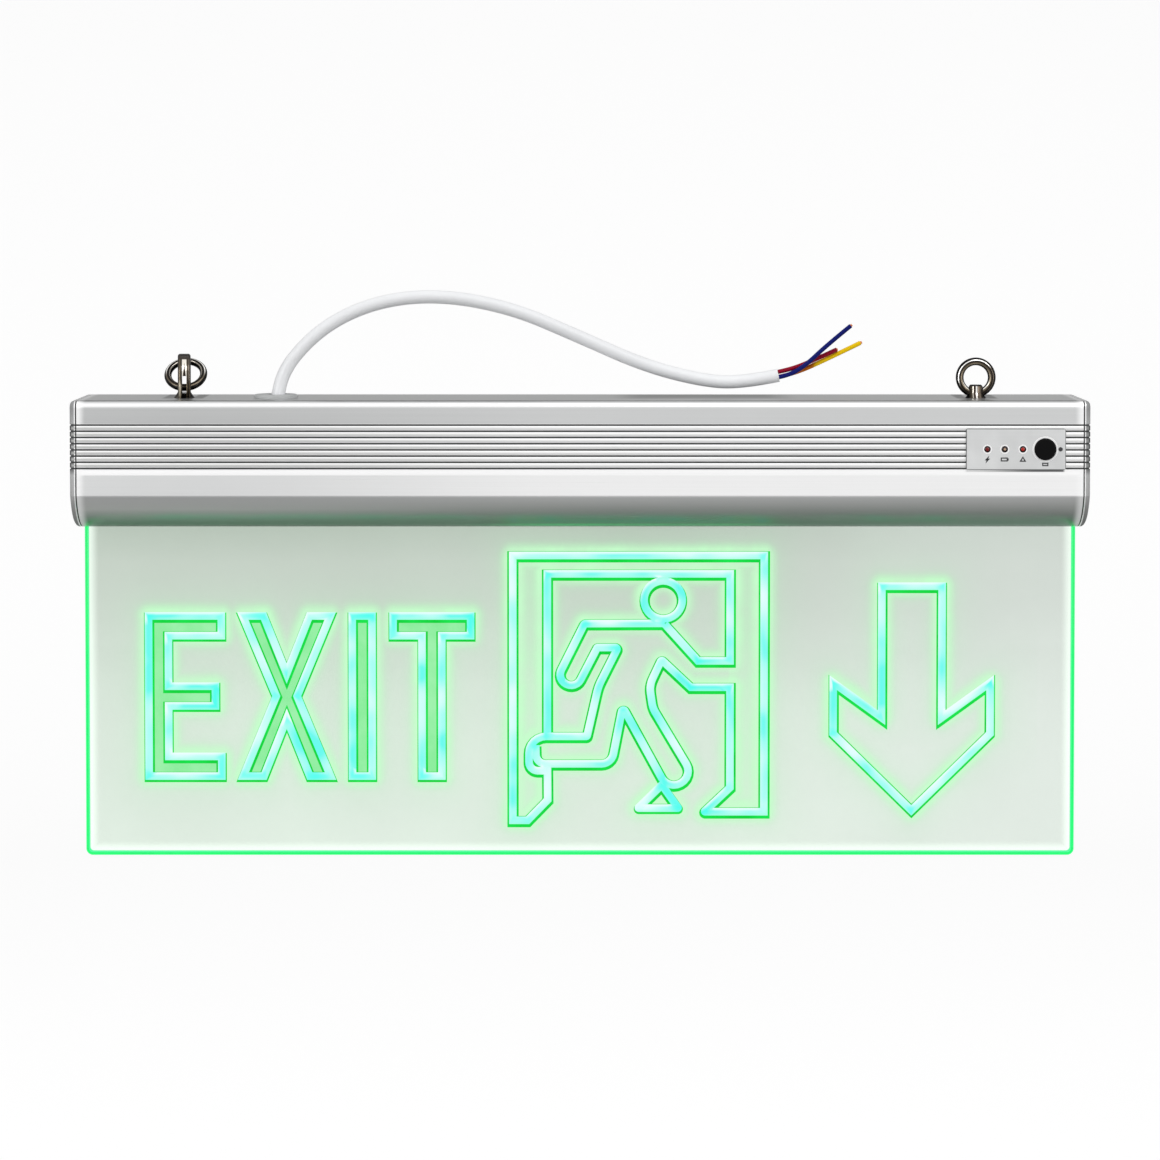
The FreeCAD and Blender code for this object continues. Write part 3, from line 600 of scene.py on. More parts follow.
def noise(tree, place, scale, detail=3.0):
    inputs = {"Vector": place, "Scale": scale, "Detail": detail}
    return add(tree, "ShaderNodeTexNoise", inputs).outputs["Fac"]


def stretched(tree, place, scale):
    return add(tree, "ShaderNodeMapping", {"Vector": place, "Scale": scale}).outputs["Vector"]


def effect(name, inputs, outputs):
    """Empty shader group with float inputs and named outputs."""
    group = bpy.data.node_groups.new(name, "ShaderNodeTree")
    for label, value in inputs:
        socket = group.interface.new_socket(name=label, in_out="INPUT", socket_type="NodeSocketFloat")
        socket.default_value = value
    for label in outputs:
        group.interface.new_socket(name=label, in_out="OUTPUT", socket_type="NodeSocketFloat")
    start = group.nodes.new("NodeGroupInput")
    end = group.nodes.new("NodeGroupOutput")
    return group, start.outputs, end.inputs


def spread_roughness(group, start, end, value):
    """Puts out an effect's roughness, which a value from 0 to 1 changes by the effect's spread."""
    change = product(group, maths(group, "SUBTRACT", value, 0.5), start["Spread"])
    group.links.new(maths(group, "ADD", change, start["Roughness"]), end["Roughness"])


def drawn_lines_effect():
    """Fine lines along X that drawing or brushing leaves in metal."""
    inputs = [("Lines", 2600.0), ("Length", 14.0), ("Roughness", 0.3), ("Spread", 0.12)]
    group, start, end = effect("drawn_lines", inputs, ["Roughness", "Height", "Shade"])
    scale = add(group, "ShaderNodeCombineXYZ", {0: start["Length"], 1: start["Lines"], 2: start["Lines"]})
    lines = noise(group, stretched(group, object_place(group), scale.outputs[0]), 1.0, 4.0)
    cloud = noise(group, object_place(group), 22.0, 3.0)
    spread_roughness(group, start, end, lines)
    group.links.new(lines, end["Height"])
    shade = maths(group, "ADD", product(group, lines, 0.6), product(group, cloud, 0.4))
    group.links.new(shade, end["Shade"])
    return group


def moulded_skin_effect():
    """Faint grain and cloudiness of moulded plastic or painted metal."""
    inputs = [("Grain", 3200.0), ("Roughness", 0.4), ("Spread", 0.1)]
    group, start, end = effect("moulded_skin", inputs, ["Roughness", "Height", "Shade"])
    grain = noise(group, object_place(group), start["Grain"], 2.0)
    cloud = noise(group, object_place(group), 60.0, 4.0)
    spread_roughness(group, start, end, cloud)
    group.links.new(grain, end["Height"])
    group.links.new(cloud, end["Shade"])
    return group


# Metal and plastic


def new_material(name):
    """Material with one Principled shader, ready for its nodes."""
    material = bpy.data.materials.new(name)
    material.use_nodes = True
    tree = material.node_tree
    tree.nodes.clear()
    shader = tree.nodes.new("ShaderNodeBsdfPrincipled")
    output = tree.nodes.new("ShaderNodeOutputMaterial")
    tree.links.new(shader.outputs["BSDF"], output.inputs["Surface"])
    return material, tree, shader.inputs


def feed(tree, inputs, name, value):
    connect(tree, inputs[name], value)


def place_effect(tree, group, values):
    node = tree.nodes.new("ShaderNodeGroup")
    node.node_tree = group
    for label, value in values.items():
        node.inputs[label].default_value = value
    return node.outputs


def bump(tree, inputs, height, strength, distance):
    values = {"Strength": strength, "Distance": distance, "Height": height}
    tree.links.new(add(tree, "ShaderNodeBump", values).outputs["Normal"], inputs["Normal"])


def shaded(tree, colour, shade, amount):
    """Colour made a little lighter and darker by a shade from 0 to 1."""
    low = 1 - amount
    high = 1 + amount
    grey = ramp(tree, shade, [(0.3, (low, low, low, 1)), (0.7, (high, high, high, 1))])
    return mixed(tree, 1.0, colour, grey, "MULTIPLY")


def draw_metal(tree, inputs, tone, lines, contrast, depth, strength=0.2):
    """Gives metal its tone and the relief of its drawn lines. Returns the roughness that goes with them."""
    finish = place_effect(tree, drawn_lines, lines)
    feed(tree, inputs, "Base Color", shaded(tree, tone, finish["Shade"], contrast))
    bump(tree, inputs, finish["Height"], strength, depth * MM)
    return finish["Roughness"]


def metal(name, colour, roughness=0.3, spread=0.12, lines=2600.0, length=14.0, depth=0.02):
    """Drawn or brushed metal of one colour."""
    material, tree, inputs = new_material(name)
    values = {"Lines": lines, "Length": length, "Roughness": roughness, "Spread": spread}
    feed(tree, inputs, "Roughness", draw_metal(tree, inputs, colour, values, 0.06, depth, 0.25))
    feed(tree, inputs, "Metallic", 1.0)
    return material


def plastic(name, colour, roughness=0.4, amount=0.05, grain=3200.0, coat=0.0, specular=0.5):
    """Moulded plastic, rubber or lacquer of one colour."""
    material, tree, inputs = new_material(name)
    finish = place_effect(tree, moulded_skin, {"Grain": grain, "Roughness": roughness, "Spread": 0.12})
    feed(tree, inputs, "Base Color", shaded(tree, colour, finish["Shade"], amount))
    feed(tree, inputs, "Roughness", finish["Roughness"])
    feed(tree, inputs, "Coat Weight", coat)
    feed(tree, inputs, "Specular IOR Level", specular)
    bump(tree, inputs, finish["Height"], 0.2, 0.01 * MM)
    return material


# Housing and end caps


def tone_ramp(tree, z, stops):
    """Colour by how far a point lies below the top face, from (height, colour) stops."""
    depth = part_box("housing_extrusion")[0].z / MM
    drop = ranged(tree, z, (0.0, depth), kind="LINEAR")
    return ramp(tree, drop, [(level / depth, linear(*colour)) for level, colour in stops])


def aluminium(tree, inputs, tone, groove_shade, seam, dull=0.0):
    """Satin anodised aluminium of a tone, with painted grey shade along the middle of its lands, painted
    shade in the grooves between them, and a dull seam.
    """
    x, y, z = coordinates(tree)
    strip = maths(tree, "DIVIDE", maths(tree, "SUBTRACT", -first_groove_drop, z), groove_pitch)
    # Painted shade: a grey strip along the middle of each land, fading towards the right.
    land_shade = ranged(tree, off_middle(tree, maths(tree, "FRACT", strip), 0.5), (0.24, 0.1))
    fading = ranged(tree, x, land_shade_fades, (0.85, 0.3))
    land_shade = product(tree, land_shade, between(tree, z, land_heights, 0.2), fading)
    tone = mixed(tree, land_shade, tone, linear(196, 197, 195))
    # Painted shade on the groove floors.
    floor = ranged(tree, maths(tree, "ABSOLUTE", y), groove_floor)
    groove = product(tree, floor, between(tree, z, groove_heights, 0.15))
    tone = mixed(tree, groove, tone, groove_shade)
    tone = mixed(tree, seam, tone, linear(46, 47, 48))
    rough = draw_metal(tree, inputs, tone, satin_lines, 0.025, 0.012)
    matt = maths(tree, "MAXIMUM", seam, dull)
    feed(tree, inputs, "Metallic", ranged(tree, matt, (0.0, 1.0), (0.85, 0.0), "LINEAR"))
    feed(tree, inputs, "Roughness", maths(tree, "MAXIMUM", rough, matt))


def panel_light(tree, x, z):
    """Green light of the sign along the housing's lower edge, a little uneven."""
    along = noise(tree, stretched(tree, object_place(tree), (14.0, 1.0, 1.0)), 1.0, 2.0)
    lit = product(tree, between(tree, z, lit_heights, 0.35), between(tree, x, lit_stretch, 25.0))
    return product(tree, lit, ranged(tree, along, (0.35, 0.6), (0.45, 1.0)))


def top_edge(tree, y, z):
    """The top face's long edges."""
    edge = ranged(tree, maths(tree, "ABSOLUTE", y), top_edge_places)
    return product(tree, edge, ranged(tree, z, (-0.12, -0.02)))


def under_plate_shade(tree, x, y, z):
    """Shade on the front under the control plate, deeper towards its right."""
    return product(
        tree,
        between(tree, z, under_plate_heights, 0.2),
        between(tree, x, under_plate_stretch, 0.6),
        ranged(tree, x, under_plate_grows, (0.25, 0.9)),
        ranged(tree, y, (0.0, -20.0)),
    )


def cable_patch(tree, x, y, z):
    """Shade on the top face under the cable's end."""
    patch = product(tree, between(tree, x, cable_patch_stretch, 7.0), ranged(tree, y, (-15.0, 4.0)))
    return product(tree, patch, ranged(tree, z, top_face))


def eye_shade(tree, reach, y, z):
    """Shade on the top face on both sides of each eye's foot."""
    beside = off_middle(tree, reach, middle_of("right_eye_bolt").x)
    shade = product(tree, between(tree, beside, eye_shade_reach, 0.8), ranged(tree, y, (-9.0, -2.0)))
    return product(tree, shade, ranged(tree, z, top_face))


def housing_material():
    """Housing's metal: tones of its profile with painted highlights, reflections and shade, darker at the
    left, with more painted light and shade on it.
    """
    material, tree, inputs = new_material("satin_aluminium")
    x, y, z = coordinates(tree)
    reach = maths(tree, "ABSOLUTE", x)
    # Painted highlights, reflections and shade by height, darker at the left.
    side = ranged(tree, x, housing_changes)
    tone = mixed(tree, side, tone_ramp(tree, z, left_tone_and_painted_light), tone_ramp(tree, z, right_tone_and_painted_light))
    # Painted light and shade on the housing: the sign's green glow on its lower edge, highlights at its
    # ends, and shade under the control plate, under the cable's end and beside the eyes; with these, dark
    # lines along the top face's long edges.
    marks = [
        (panel_light(tree, x, z), (32, 178, 110)),
        (top_edge(tree, y, z), (104, 105, 105)),
        (ranged(tree, reach, bright_ends, (0.0, 0.8)), (252, 252, 252)),
        (under_plate_shade(tree, x, y, z), (58, 60, 60)),
        (cable_patch(tree, x, y, z), (112, 113, 113)),
        (eye_shade(tree, reach, y, z), (66, 67, 67)),
    ]
    for share, colour in marks:
        tone = mixed(tree, share, tone, linear(*colour))
    aluminium(tree, inputs, tone, linear(70, 72, 72), ranged(tree, reach, housing_seam))
    return material


def cap_material():
    """End caps' metal: a dark seam, a painted highlight strip, and a grey rounded edge whose tones by height
    carry painted light and shade.
    """
    material, tree, inputs = new_material("cap_aluminium")
    x, _, z = coordinates(tree)
    reach = maths(tree, "ABSOLUTE", x)
    # Painted highlight strip next to the seam; beyond it, the rounded edge's tones by height with painted
    # light and shade.
    outer = ranged(tree, reach, cap_edge)
    tone = mixed(tree, outer, linear(250, 250, 250), tone_ramp(tree, z, cap_tone_and_painted_light))
    dull = product(tree, outer, 0.85)
    aluminium(tree, inputs, tone, linear(84, 86, 86), ranged(tree, reach, cap_seam), dull)
    return material


# Panel


def edge_distance(tree, x, z):
    """How far inside the panel's rounded outline a point lies, in millimetres."""
    low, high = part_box("sign_panel")
    radius = panel_corner_radius
    beyond_x = maths(tree, "SUBTRACT", maths(tree, "ABSOLUTE", x), high.x / MM - radius)
    beyond_z = maths(tree, "SUBTRACT", low.z / MM + radius, z)
    corner_x = maths(tree, "MAXIMUM", beyond_x, 0.0)
    corner_z = maths(tree, "MAXIMUM", beyond_z, 0.0)
    straight = maths(tree, "MINIMUM", maths(tree, "MAXIMUM", beyond_x, beyond_z), 0.0)
    outside = maths(tree, "ADD", way_length(tree, corner_x, corner_z), straight)
    return maths(tree, "SUBTRACT", radius, outside)


def panel_acrylic_material():
    """Clear acrylic that carries the light, with painted shade that makes it darker near the housing, and
    green at its edges.
    """
    material, tree, inputs = new_material("panel_acrylic")
    x, _, z = coordinates(tree)
    drop = ranged(tree, z, (panel_top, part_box("sign_panel")[0].z / MM), kind="LINEAR")
    # Green tint with painted shade, darker towards the housing.
    tint_light_and_shade = ramp(tree, drop, panel_tint_and_shade)
    side = product(tree, ranged(tree, x, panel_pales), 0.5)
    tint_light_and_shade = mixed(tree, side, tint_light_and_shade, (0.62, 0.655, 0.63, 1))
    tint_light_and_shade = shaded(tree, tint_light_and_shade, noise(tree, object_place(tree), 16.0, 3.0), 0.03)
    inset = edge_distance(tree, x, z)
    near = product(tree, ranged(tree, inset, panel_edge_light), 0.75)
    tint_light_and_shade = mixed(tree, near, tint_light_and_shade, (0.86, 0.98, 0.88, 1))
    rim = ranged(tree, inset, panel_edge_rim)
    feed(tree, inputs, "Base Color", mixed(tree, rim, tint_light_and_shade, (0.005, 0.30, 0.06, 1)))
    feed(tree, inputs, "Emission Color", mixed(tree, rim, (0, 0, 0, 1), (0.0, 0.40, 0.09, 1)))
    feed(tree, inputs, "Emission Strength", 1.0)
    feed(tree, inputs, "Transmission Weight", 1.0)
    feed(tree, inputs, "IOR", 1.49)
    smudges = noise(tree, object_place(tree), 40.0, 5.0)
    feed(tree, inputs, "Roughness", ranged(tree, smudges, (0.3, 0.7), (0.02, 0.06), "LINEAR"))
    return material


# Sign


def set_glow(tree, inputs, light, specular=0.1):
    """Makes a dark surface shine in a colour."""
    feed(tree, inputs, "Base Color", (0, 0, 0, 1))
    feed(tree, inputs, "Specular IOR Level", specular)
    feed(tree, inputs, "Emission Color", light)
    feed(tree, inputs, "Emission Strength", 1.0)


def sign_line_material():
    """Engraved line full of light: near white with patches of cyan."""
    material, tree, inputs = new_material("sign_line")
    patch = noise(tree, object_place(tree), 60.0, 1.0)
    light = ramp(tree, patch, [(place, linear(*colour)) for place, colour in line_lights])
    side = attribute(tree, "side")
    light = mixed(tree, ranged(tree, side, (0.0, 0.9), (0.0, 0.85)), light, linear(240, 255, 255))
    light = mixed(tree, ranged(tree, side, (0.1, -0.9), (0.0, 0.65)), light, linear(160, 255, 226))
    corner = ranged(tree, attribute(tree, "corner"), (0.2, 0.9))
    near = product(tree, corner, ranged(tree, patch, (0.65, 0.45), (0.1, 0.65)))
    set_glow(tree, inputs, mixed(tree, near, light, linear(66, 255, 240)))
    return material


def sign_edge_material():
    """Wall of the engraved lines, lit strong green."""
    material, tree, inputs = new_material("sign_edge")
    patch = noise(tree, object_place(tree), 90.0, 2.0)
    set_glow(tree, inputs, ramp(tree, patch, [(0.35, linear(0, 210, 58)), (0.65, linear(12, 228, 76))]))
    return material


def sign_fill_material():
    """Letter faces, a translucent green film."""
    material, tree, inputs = new_material("sign_fill")
    patch = noise(tree, object_place(tree), 95.0, 3.0)
    set_glow(tree, inputs, ramp(tree, patch, [(0.35, linear(136, 236, 154)), (0.65, linear(158, 241, 172))]))
    feed(tree, inputs, "Alpha", ranged(tree, patch, (0.3, 0.7), (0.78, 0.9)))
    return material


def sign_glow_material():
    """Light that spreads in the panel round the lines, by the sheet's own glow attribute."""
    material, tree, inputs = new_material("sign_glow")
    glow = attribute(tree, "glow")
    cloud = noise(tree, object_place(tree), 110.0, 3.0)
    light = ramp(tree, glow, [
        (0.0, linear(176, 232, 186)),
        (0.4, linear(188, 250, 196)),
        (1.0, linear(200, 255, 206)),
    ])
    set_glow(tree, inputs, light, 0.0)
    feed(tree, inputs, "Alpha", product(tree, glow, ranged(tree, cloud, (0.3, 0.7), (0.85, 1.1))))
    return material


def rounded(corners):
    """Path through (along, up, radius) corners, with an arc at each that has a radius."""
    path = []
    count = len(corners)
    for index, (x, z, radius) in enumerate(corners):
        corner = Vector((x, z))
        if radius == 0:
            path.append(corner)
            continue
        back = Vector(corners[index - 1][:2]) - corner
        ahead = Vector(corners[(index + 1) % count][:2]) - corner
        half = back.angle(ahead) / 2
        reach = min(radius / math.tan(half), 0.49 * min(back.length, ahead.length))
        bend = reach * math.tan(half)
        start = corner + back.normalized() * reach
        end = corner + ahead.normalized() * reach
        middle = corner + (back.normalized() + ahead.normalized()).normalized() * (bend / math.sin(half))
        first = start - middle
        turn = first.angle_signed(end - middle)
        for step in range(arc_steps + 1):
            path.append(middle + Matrix.Rotation(-turn * step / arc_steps, 2) @ first)
    return path


def circle(centre, radius):
    points = []
    for step in range(circle_points):
        angle = 2 * math.pi * step / circle_points
        points.append(centre + radius * Vector((math.cos(angle), math.sin(angle))))
    return points


def mitred(path, distance, closed):
    """Path moved to its left by a distance, with its corners kept sharp."""
    moved = []
    count = len(path)
    for index, point in enumerate(path):
        ways = []
        if closed or index > 0:
            ways.append((point - path[index - 1]).normalized())
        if closed or index < count - 1:
            ways.append((path[(index + 1) % count] - point).normalized())
        lefts = [Vector((-way.y, way.x)) for way in ways]
        out = sum(lefts, Vector((0, 0))).normalized()
        moved.append(point + out * distance / max(out.dot(lefts[0]), 0.3))
    return moved


def add_band(mesh, rows, depth, thickness):
    """Flat band across two or more rows of points, as thick as given towards the front."""
    loops = []
    for path in rows:
        verts = [mesh.verts.new((point.x * MM, depth * MM, point.y * MM)) for point in path]
        loops.append([mesh.edges.new(pair) for pair in zip(verts, verts[1:])])
    faces = []
    for near, far in zip(loops, loops[1:]):
        faces += bmesh.ops.bridge_loops(mesh, edges=near + far)["faces"]
    thicken(mesh, faces, thickness)


def add_ring(mesh, outline, widths, depth, thickness):
    """Flat strips of the given widths, one inside the other, along the inside of a closed outline."""
    verts = [mesh.verts.new((point.x * MM, depth * MM, point.y * MM)) for point in outline]
    middle = mesh.faces.new(verts)
    middle.normal_update()
    faces = []
    for width in widths:
        values = {"faces": [middle], "thickness": width * MM, "use_boundary": True, "use_even_offset": True}
        faces += bmesh.ops.inset_region(mesh, **values)["faces"]
    bmesh.ops.delete(mesh, geom=[middle], context="FACES_ONLY")
    thicken(mesh, faces, thickness)


def thicken(mesh, faces, thickness):
    made = bmesh.ops.extrude_face_region(mesh, geom=faces)["geom"]
    front = [part for part in made if isinstance(part, bmesh.types.BMVert)]
    bmesh.ops.translate(mesh, verts=front, vec=(0, -thickness * MM, 0))


def finished(mesh, name):
    """Blender mesh of the bmesh, with its faces turned outwards."""
    bmesh.ops.recalc_face_normals(mesh, faces=mesh.faces)
    data = bpy.data.meshes.new(name)
    mesh.to_mesh(data)
    mesh.free()
    return data


def letter_e():
    top = letter_top
    bottom = letter_top - letter_height
    middle = (top + bottom) / 2
    right = e_left + e_width
    inner = e_left + letter_stroke
    arm = e_left + e_middle_width
    points = [(e_left, top), (e_left, bottom), (right, bottom), (right, bottom + letter_stroke)]
    points += [(inner, bottom + letter_stroke), (inner, middle - letter_stroke / 2)]
    points += [(arm, middle - letter_stroke / 2), (arm, middle + letter_stroke / 2)]
    points += [(inner, middle + letter_stroke / 2), (inner, top - letter_stroke)]
    points += [(right, top - letter_stroke), (right, top)]
    return points


def letter_x():
    top = letter_top
    bottom = letter_top - letter_height
    waist = (top + bottom) / 2
    middle = x_left + x_width / 2
    right = x_left + x_width
    half_waist = x_arm / 2
    points = [(x_left, top), (middle - half_waist, waist), (x_left, bottom), (x_left + x_arm, bottom)]
    points += [(middle, bottom + x_notch), (right - x_arm, bottom), (right, bottom)]
    points += [(middle + half_waist, waist), (right, top), (right - x_arm, top)]
    points += [(middle, top - x_notch), (x_left + x_arm, top)]
    return points


def letter_i():
    bottom = letter_top - letter_height
    right = i_left + letter_stroke
    return [(i_left, letter_top), (i_left, bottom), (right, bottom), (right, letter_top)]


def letter_t():
    bottom = letter_top - letter_height
    right = t_left + t_width
    middle = t_left + t_width / 2
    under = letter_top - letter_stroke
    half = letter_stroke / 2
    points = [(t_left, letter_top), (t_left, under), (middle - half, under), (middle - half, bottom)]
    points += [(middle + half, bottom), (middle + half, under), (right, under), (right, letter_top)]
    return points


def letters():
    return [letter_e(), letter_x(), letter_i(), letter_t()]


def arrow():
    left = arrow_x - arrow_half_width
    right = arrow_x + arrow_half_width
    shaft_left = arrow_x - arrow_shaft
    shaft_right = arrow_x + arrow_shaft
    points = [(shaft_left, arrow_top), (shaft_left, arrow_notch), (left, arrow_barb)]
    points += [(left, arrow_shoulder), (arrow_x, arrow_tip), (right, arrow_shoulder)]
    points += [(right, arrow_barb), (shaft_right, arrow_notch), (shaft_right, arrow_top)]
    return points


def outline_centre(outline):
    """Centre-line of the line drawn inside a closed outline that runs anticlockwise."""
    return mitred([Vector(point) for point in outline], line_width / 2, True)


def sign_paths():
    """Every line of the sign as (centre-line, closed)."""
    paths = [(outline_centre(outline), True) for outline in [*letters(), arrow()]]
    paths.append((rounded(foot), True))
    paths += [(rounded(corners), False) for corners in (leg_and_door, door_inside, arm_and_leg)]
    paths.append((circle(Vector(head_place), head_radius), True))
    return paths


def sign_corners():
    """Where the sign's lines turn or meet."""
    corners = [point for outline in [*letters(), arrow()] for point in outline_centre(outline)]
    for listed in (foot, leg_and_door, door_inside, arm_and_leg):
        corners += [Vector((x, z)) for x, z, radius in listed if radius < 1]
    return corners


def stepped(path, closed):
    """Path with further points along its straight parts, clear of its corners."""
    points = []
    ends = path[1:] + path[:1] if closed else path[1:]
    for first, last in zip(path, ends):
        points.append(first)
        length = (last - first).length
        steps = int((length - 2 * corner_clearance) / line_step)
        for step in range(steps + 1 if steps > 0 else 0):
            reach = corner_clearance + (length - 2 * corner_clearance) * step / steps
            points.append(first.lerp(last, reach / length))
    if not closed:
        points.append(path[-1])
    return points


def panel_front():
    """Depth of the panel's front face, in millimetres."""
    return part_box("sign_panel")[0].y / MM


def add_line(edges, lines, path, closed, level):
    """One line of the sign and its green edge, from a level in millimetres towards the front."""
    half_line = line_width / 2
    half_edge = half_line + edge_margin
    dropped = [point + Vector((edge_shift, -edge_drop)) for point in path]
    fine = stepped(path, closed)
    if closed:
        outline = mitred(dropped, -half_line - outer_margin, True)
        add_ring(edges, outline, [line_width + outer_margin + edge_margin], level, edge_thickness)
        outline = mitred(fine, -half_line, True)
        add_ring(lines, outline, [half_line, half_line], level - edge_thickness, line_thickness)
    else:
        sides = [mitred(dropped, half_edge, False), mitred(dropped, -half_edge, False)]
        add_band(edges, sides, level, edge_thickness)
        rows = [mitred(fine, half_line, False), fine, mitred(fine, -half_line, False)]
        add_band(lines, rows, level - edge_thickness, line_thickness)


def add_sign_lines(paths):
    """Strong green edges on the panel, and the bright lines that lie on them."""
    edges = bmesh.new()
    lines = bmesh.new()
    for number, (path, closed) in enumerate(paths):
        add_line(edges, lines, path, closed, panel_front() - number * layer_step)
    new_piece("sign_line_edges", finished(edges, "sign_line_edges"), sign_edge_material())
    data = finished(lines, "sign_lines")
    places = flat_places(data)
    offsets = line_offsets(places, paths)
    add_values(data, "side", offsets @ np.array(lit_way) / (line_width / 2))
    corners = np.array(sign_corners())
    gaps = np.linalg.norm(places[:, None] - corners[None], axis=2).min(axis=1)
    add_values(data, "corner", np.exp(-((gaps / corner_reach) ** 2)))
    new_piece("sign_lines", data, sign_line_material())


def add_letter_faces():
    """Film inside the outline of each letter."""
    mesh = bmesh.new()
    depth = (panel_front() - film_lift) * MM
    for outline in letters():
        inner = mitred([Vector(point) for point in outline], film_inset, True)
        verts = [mesh.verts.new((point.x * MM, depth, point.y * MM)) for point in inner]
        face = mesh.faces.new(verts)
        face.normal_update()
        made = bmesh.ops.triangulate(mesh, faces=[face])
        thicken(mesh, made["faces"], film_thickness)
    new_piece("letter_faces", finished(mesh, "letter_faces"), sign_fill_material())


def flat_places(data):
    """(along, up) of every vertex of a mesh, in millimetres."""
    return np.array([(vert.co.x / MM, vert.co.z / MM) for vert in data.vertices])


def add_values(data, name, values):
    attribute = data.attributes.new(name, "FLOAT", "POINT")
    attribute.data.foreach_set("value", values.astype(np.float32))


def line_offsets(places, paths):
    """Way to each place from the nearest point of the centre-lines."""
    offsets = np.full((len(places), 2), 1e6)
    for path, closed in paths:
        points = path + path[:1] if closed else path
        for first, last in zip(points, points[1:]):
            start = np.array(first)
            along = np.array(last) - start
            share = np.clip((places - start) @ along / (along @ along), 0, 1)
            offset = places - start - share[:, None] * along
            nearer = np.linalg.norm(offset, axis=1) < np.linalg.norm(offsets, axis=1)
            offsets[nearer] = offset[nearer]
    return offsets


def glow_at(places, paths):
    """Strength of the light round the lines at each place, and in the door's frame."""
    gaps = np.linalg.norm(line_offsets(places, paths), axis=1)
    beyond = np.maximum(gaps - line_width / 2, 0)
    close = close_glow * np.exp(-((beyond / close_reach) ** 2))
    wide = wide_glow * np.exp(-beyond / wide_reach)
    framed = inside(places, *door_outline) & ~inside(places, *door_opening)
    return np.minimum(close + wide + door_glow * framed, most_glow)


def inside(places, along, up):
    """Whether each place lies within two spans."""
    across = (places[:, 0] > along[0]) & (places[:, 0] < along[1])
    return across & (places[:, 1] > up[0]) & (places[:, 1] < up[1])


def add_sign_glow(paths):
    """Thin sheet on the panel's front that carries the light round the lines."""
    low = Vector((glow_along[0], glow_up[0]))
    high = Vector((glow_along[1], glow_up[1]))
    size = high - low
    centre = (low + high) / 2
    place = Matrix.Translation((centre.x * MM, (panel_front() - glow_lift) * MM, centre.y * MM))
    turn = Matrix.Rotation(math.pi / 2, 4, "X")
    scale = Matrix.Diagonal((size.x * MM, size.y * MM, 1, 1))
    columns = round(size.x / glow_step)
    rows = round(size.y / glow_step)
    mesh = bmesh.new()
    bmesh.ops.create_grid(mesh, x_segments=columns, y_segments=rows, size=0.5, matrix=place @ turn @ scale)
    data = bpy.data.meshes.new("sign_glow")
    mesh.to_mesh(data)
    mesh.free()
    add_values(data, "glow", glow_at(flat_places(data), paths))
    new_piece("sign_glow", data, sign_glow_material())


# Cable


def yellow_core_material(stretch_end):
    """Yellow insulation, with painted shade that makes it brown where it comes out of the sheath."""
    material, tree, inputs = new_material("yellow_core")
    in_shade = ranged(tree, coordinates(tree)["X"], (stretch_end + 1.0, stretch_end - 1.0))
    feed(tree, inputs, "Base Color", mixed(tree, in_shade, linear(255, 212, 8), linear(206, 110, 12)))
    feed(tree, inputs, "Roughness", 0.3)
    feed(tree, inputs, "Specular IOR Level", 0.12)
    return material


def add_cable():
    """Mains cable and its three cores, each core with a bare copper end."""
    points = [metres(point) for point in cable_route]
    sheath = nurbs_line("supply_cable", points, cable_diameter * MM)
    cable = new_piece("supply_cable", sheath, plastic("white_sheath", linear(252, 253, 255), 0.42, 0.02))
    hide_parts("mains_cable")
    end = points[-1]
    jackets = {
        "red_core": plastic("red_core", linear(150, 0, 40), 0.3, specular=0.12),
        "blue_core": plastic("blue_core", linear(6, 20, 112), 0.3, specular=0.12),
        "yellow_core": yellow_core_material(end.x / MM + core_shade_length),
    }
    copper = metal("copper_strand", linear(214, 132, 84), 0.25)
    along = (end - points[-2]).normalized()
    across = along.cross(Vector((0, 0, 1))).normalized()
    upward = across.cross(along).normalized()
    pieces = []
    for number, (name, steps) in enumerate(core_routes.items()):
        angle = math.radians(90 - 120 * number)
        start = end + (across * math.cos(angle) + upward * math.sin(angle)) * core_ring * MM
        route = [start, start + along * core_straight * MM] + [start + metres(step) for step in steps]
        jacket = nurbs_line(name + "_jacket", route, core_diameter * MM)
        jacket.bevel_factor_end = jacket_end
        core = new_piece(name + "_jacket", jacket, jackets[name])
        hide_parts(name)
        strand = nurbs_line(name + "_strand", route, copper_diameter * MM)
        strand.bevel_factor_start = strand_start
        pieces += [core, new_piece(name + "_strand", strand, copper)]


# Fittings


def polish(tree, inputs, tone):
    """Bright nickel whose tone carries its painted reflections as light and dark bands."""
    rough = draw_metal(tree, inputs, tone, polished_lines, 0.05, 0.004)
    feed(tree, inputs, "Metallic", 0.8)
    feed(tree, inputs, "Roughness", rough)


